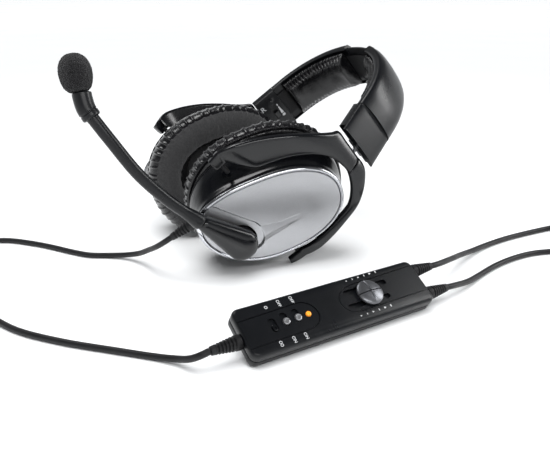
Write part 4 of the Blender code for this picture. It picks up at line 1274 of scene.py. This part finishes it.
def labels():
    """The words, signs and level marks printed on the box."""
    top = BOX_TALL + 0.015
    reading = turn(-90.0, "Z")
    for name, words, x, y in (("off_power", "OFF", -27.9, 27.6), ("off_noise", "OFF", -36.5, 27.5),
                              ("on_power", "ON", -31.2, 3.6), ("on_noise", "ON", -39.0, 3.6)):
        write("label_" + name, words, 2.7, BOX @ shift(x, y, top) @ reading, "left_cup")
    single = open_mark(circle(1.0, 32), circle(0.62, 32))
    add("label_single", single, "print", BOX @ shift(-45.1, 27.2, top), "left_cup")
    for i, y in enumerate((4.5, 2.7)):
        mark = open_mark(slot_outline(-1.0, -0.85, 1.0, 0.85), slot_outline(-0.68, -0.53, 0.68, 0.53))
        add(f"label_pair_{i}", mark, "print", BOX @ shift(-47.5, y, top), "left_cup")
    for row, (x0, y0, x1, y1) in enumerate(((13.3, 29.2, 36.4, 29.9), (8.8, 4.7, 31.9, 5.2))):
        for i in range(6):
            share = i / 5.0
            size = 0.42 + 0.34 * share
            corners = ((-size, -size), (size, -size * 0.4), (size, size * 0.4), (-size, size))
            if i % 2:
                corners = ((-size * 0.5, -size), (size * 0.5, -size), (size * 0.5, size), (-size * 0.5, size))
            place = BOX @ shift(x0 + (x1 - x0) * share, y0 + (y1 - y0) * share, top)
            flat_mark(f"level_mark_{row}_{i}", corners, place, "left_cup")


control_box()
controls()
labels()


# ---------------------------------------------------------------- CAD nodes that are shown as they are

KEPT = {"matte": ("baffle_left", "baffle_right", "headband_spring", "hinge_pin_front_left",
                  "hinge_pin_front_right", "hinge_pin_rear_left", "hinge_pin_rear_right"),
        "gloss": ("pressure_switch_left", "pressure_switch_right"),
        "steel": ("slider_bar_left", "slider_bar_right", "speaker_left", "speaker_right", "box_clip")}
for LOOK, NODES in KEPT.items():
    for NODE in NODES:
        bpy.data.objects[NODE].material_slots[0].material = LOOKS[LOOK]


# ---------------------------------------------------------------- light, floor and finish

def lamp(name, at, aim, size, power):
    """A soft box, with its place, its aim and its size in metres and its power in watts."""
    data = bpy.data.lights.new(name, "AREA")
    data.shape = "RECTANGLE"
    data.size, data.size_y = size
    data.energy = power
    made = place_in_scene(name, data)
    made.location = at
    made.rotation_euler = (Vector(aim) - Vector(at)).to_track_quat("-Z", "Y").to_euler()


def horizon_world():
    """A studio that is white round the horizon and dark overhead."""
    world = bpy.data.worlds.new("studio_world")
    bpy.context.scene.world = world
    world.use_nodes = True
    tree = world.node_tree
    place = tree.nodes.new("ShaderNodeTexCoord")
    split = tree.nodes.new("ShaderNodeSeparateXYZ")
    fade = tree.nodes.new("ShaderNodeMapRange")
    for key, value in (("From Min", 0.10), ("From Max", 0.42), ("To Min", 1.0), ("To Max", 0.10)):
        fade.inputs[key].default_value = value
    tree.links.new(place.outputs["Generated"], split.inputs["Vector"])
    tree.links.new(split.outputs["Z"], fade.inputs["Value"])
    back = tree.nodes["Background"]
    back.inputs["Color"].default_value = (0.97, 0.985, 1.0, 1.0)
    tree.links.new(fade.outputs["Result"], back.inputs["Strength"])


def studio():
    """A white floor, a wide soft sun that reflections don't show, and three small soft boxes."""
    plane = bmesh.new()
    bmesh.ops.create_grid(plane, x_segments=1, y_segments=1, size=30.0)
    mesh = bpy.data.meshes.new("floor")
    plane.to_mesh(mesh)
    plane.free()
    mesh.materials.append(LOOKS["floor"])
    place_in_scene("floor", mesh)
    sun = bpy.data.lights.new("sky_sun", "SUN")
    sun.angle = math.radians(50.0)
    sun.energy = 3.1
    sky = place_in_scene("sky_sun", sun)
    sky.rotation_euler = (math.radians(12.0), math.radians(-8.0), 0.0)
    sky.visible_glossy = False
    middle = (0.0, 0.0, 0.05)
    lamp("key_softbox", (-0.35, 0.25, 0.85), middle, (0.5, 0.35), 3.2)
    lamp("front_softbox", (0.25, -0.75, 0.55), middle, (0.6, 0.2), 2.6)
    lamp("right_softbox", (0.75, 0.05, 0.40), (0.05, 0.0, 0.05), (0.2, 0.5), 2.6)
    horizon_world()
    bpy.context.scene.view_settings.view_transform = "Standard"


studio()
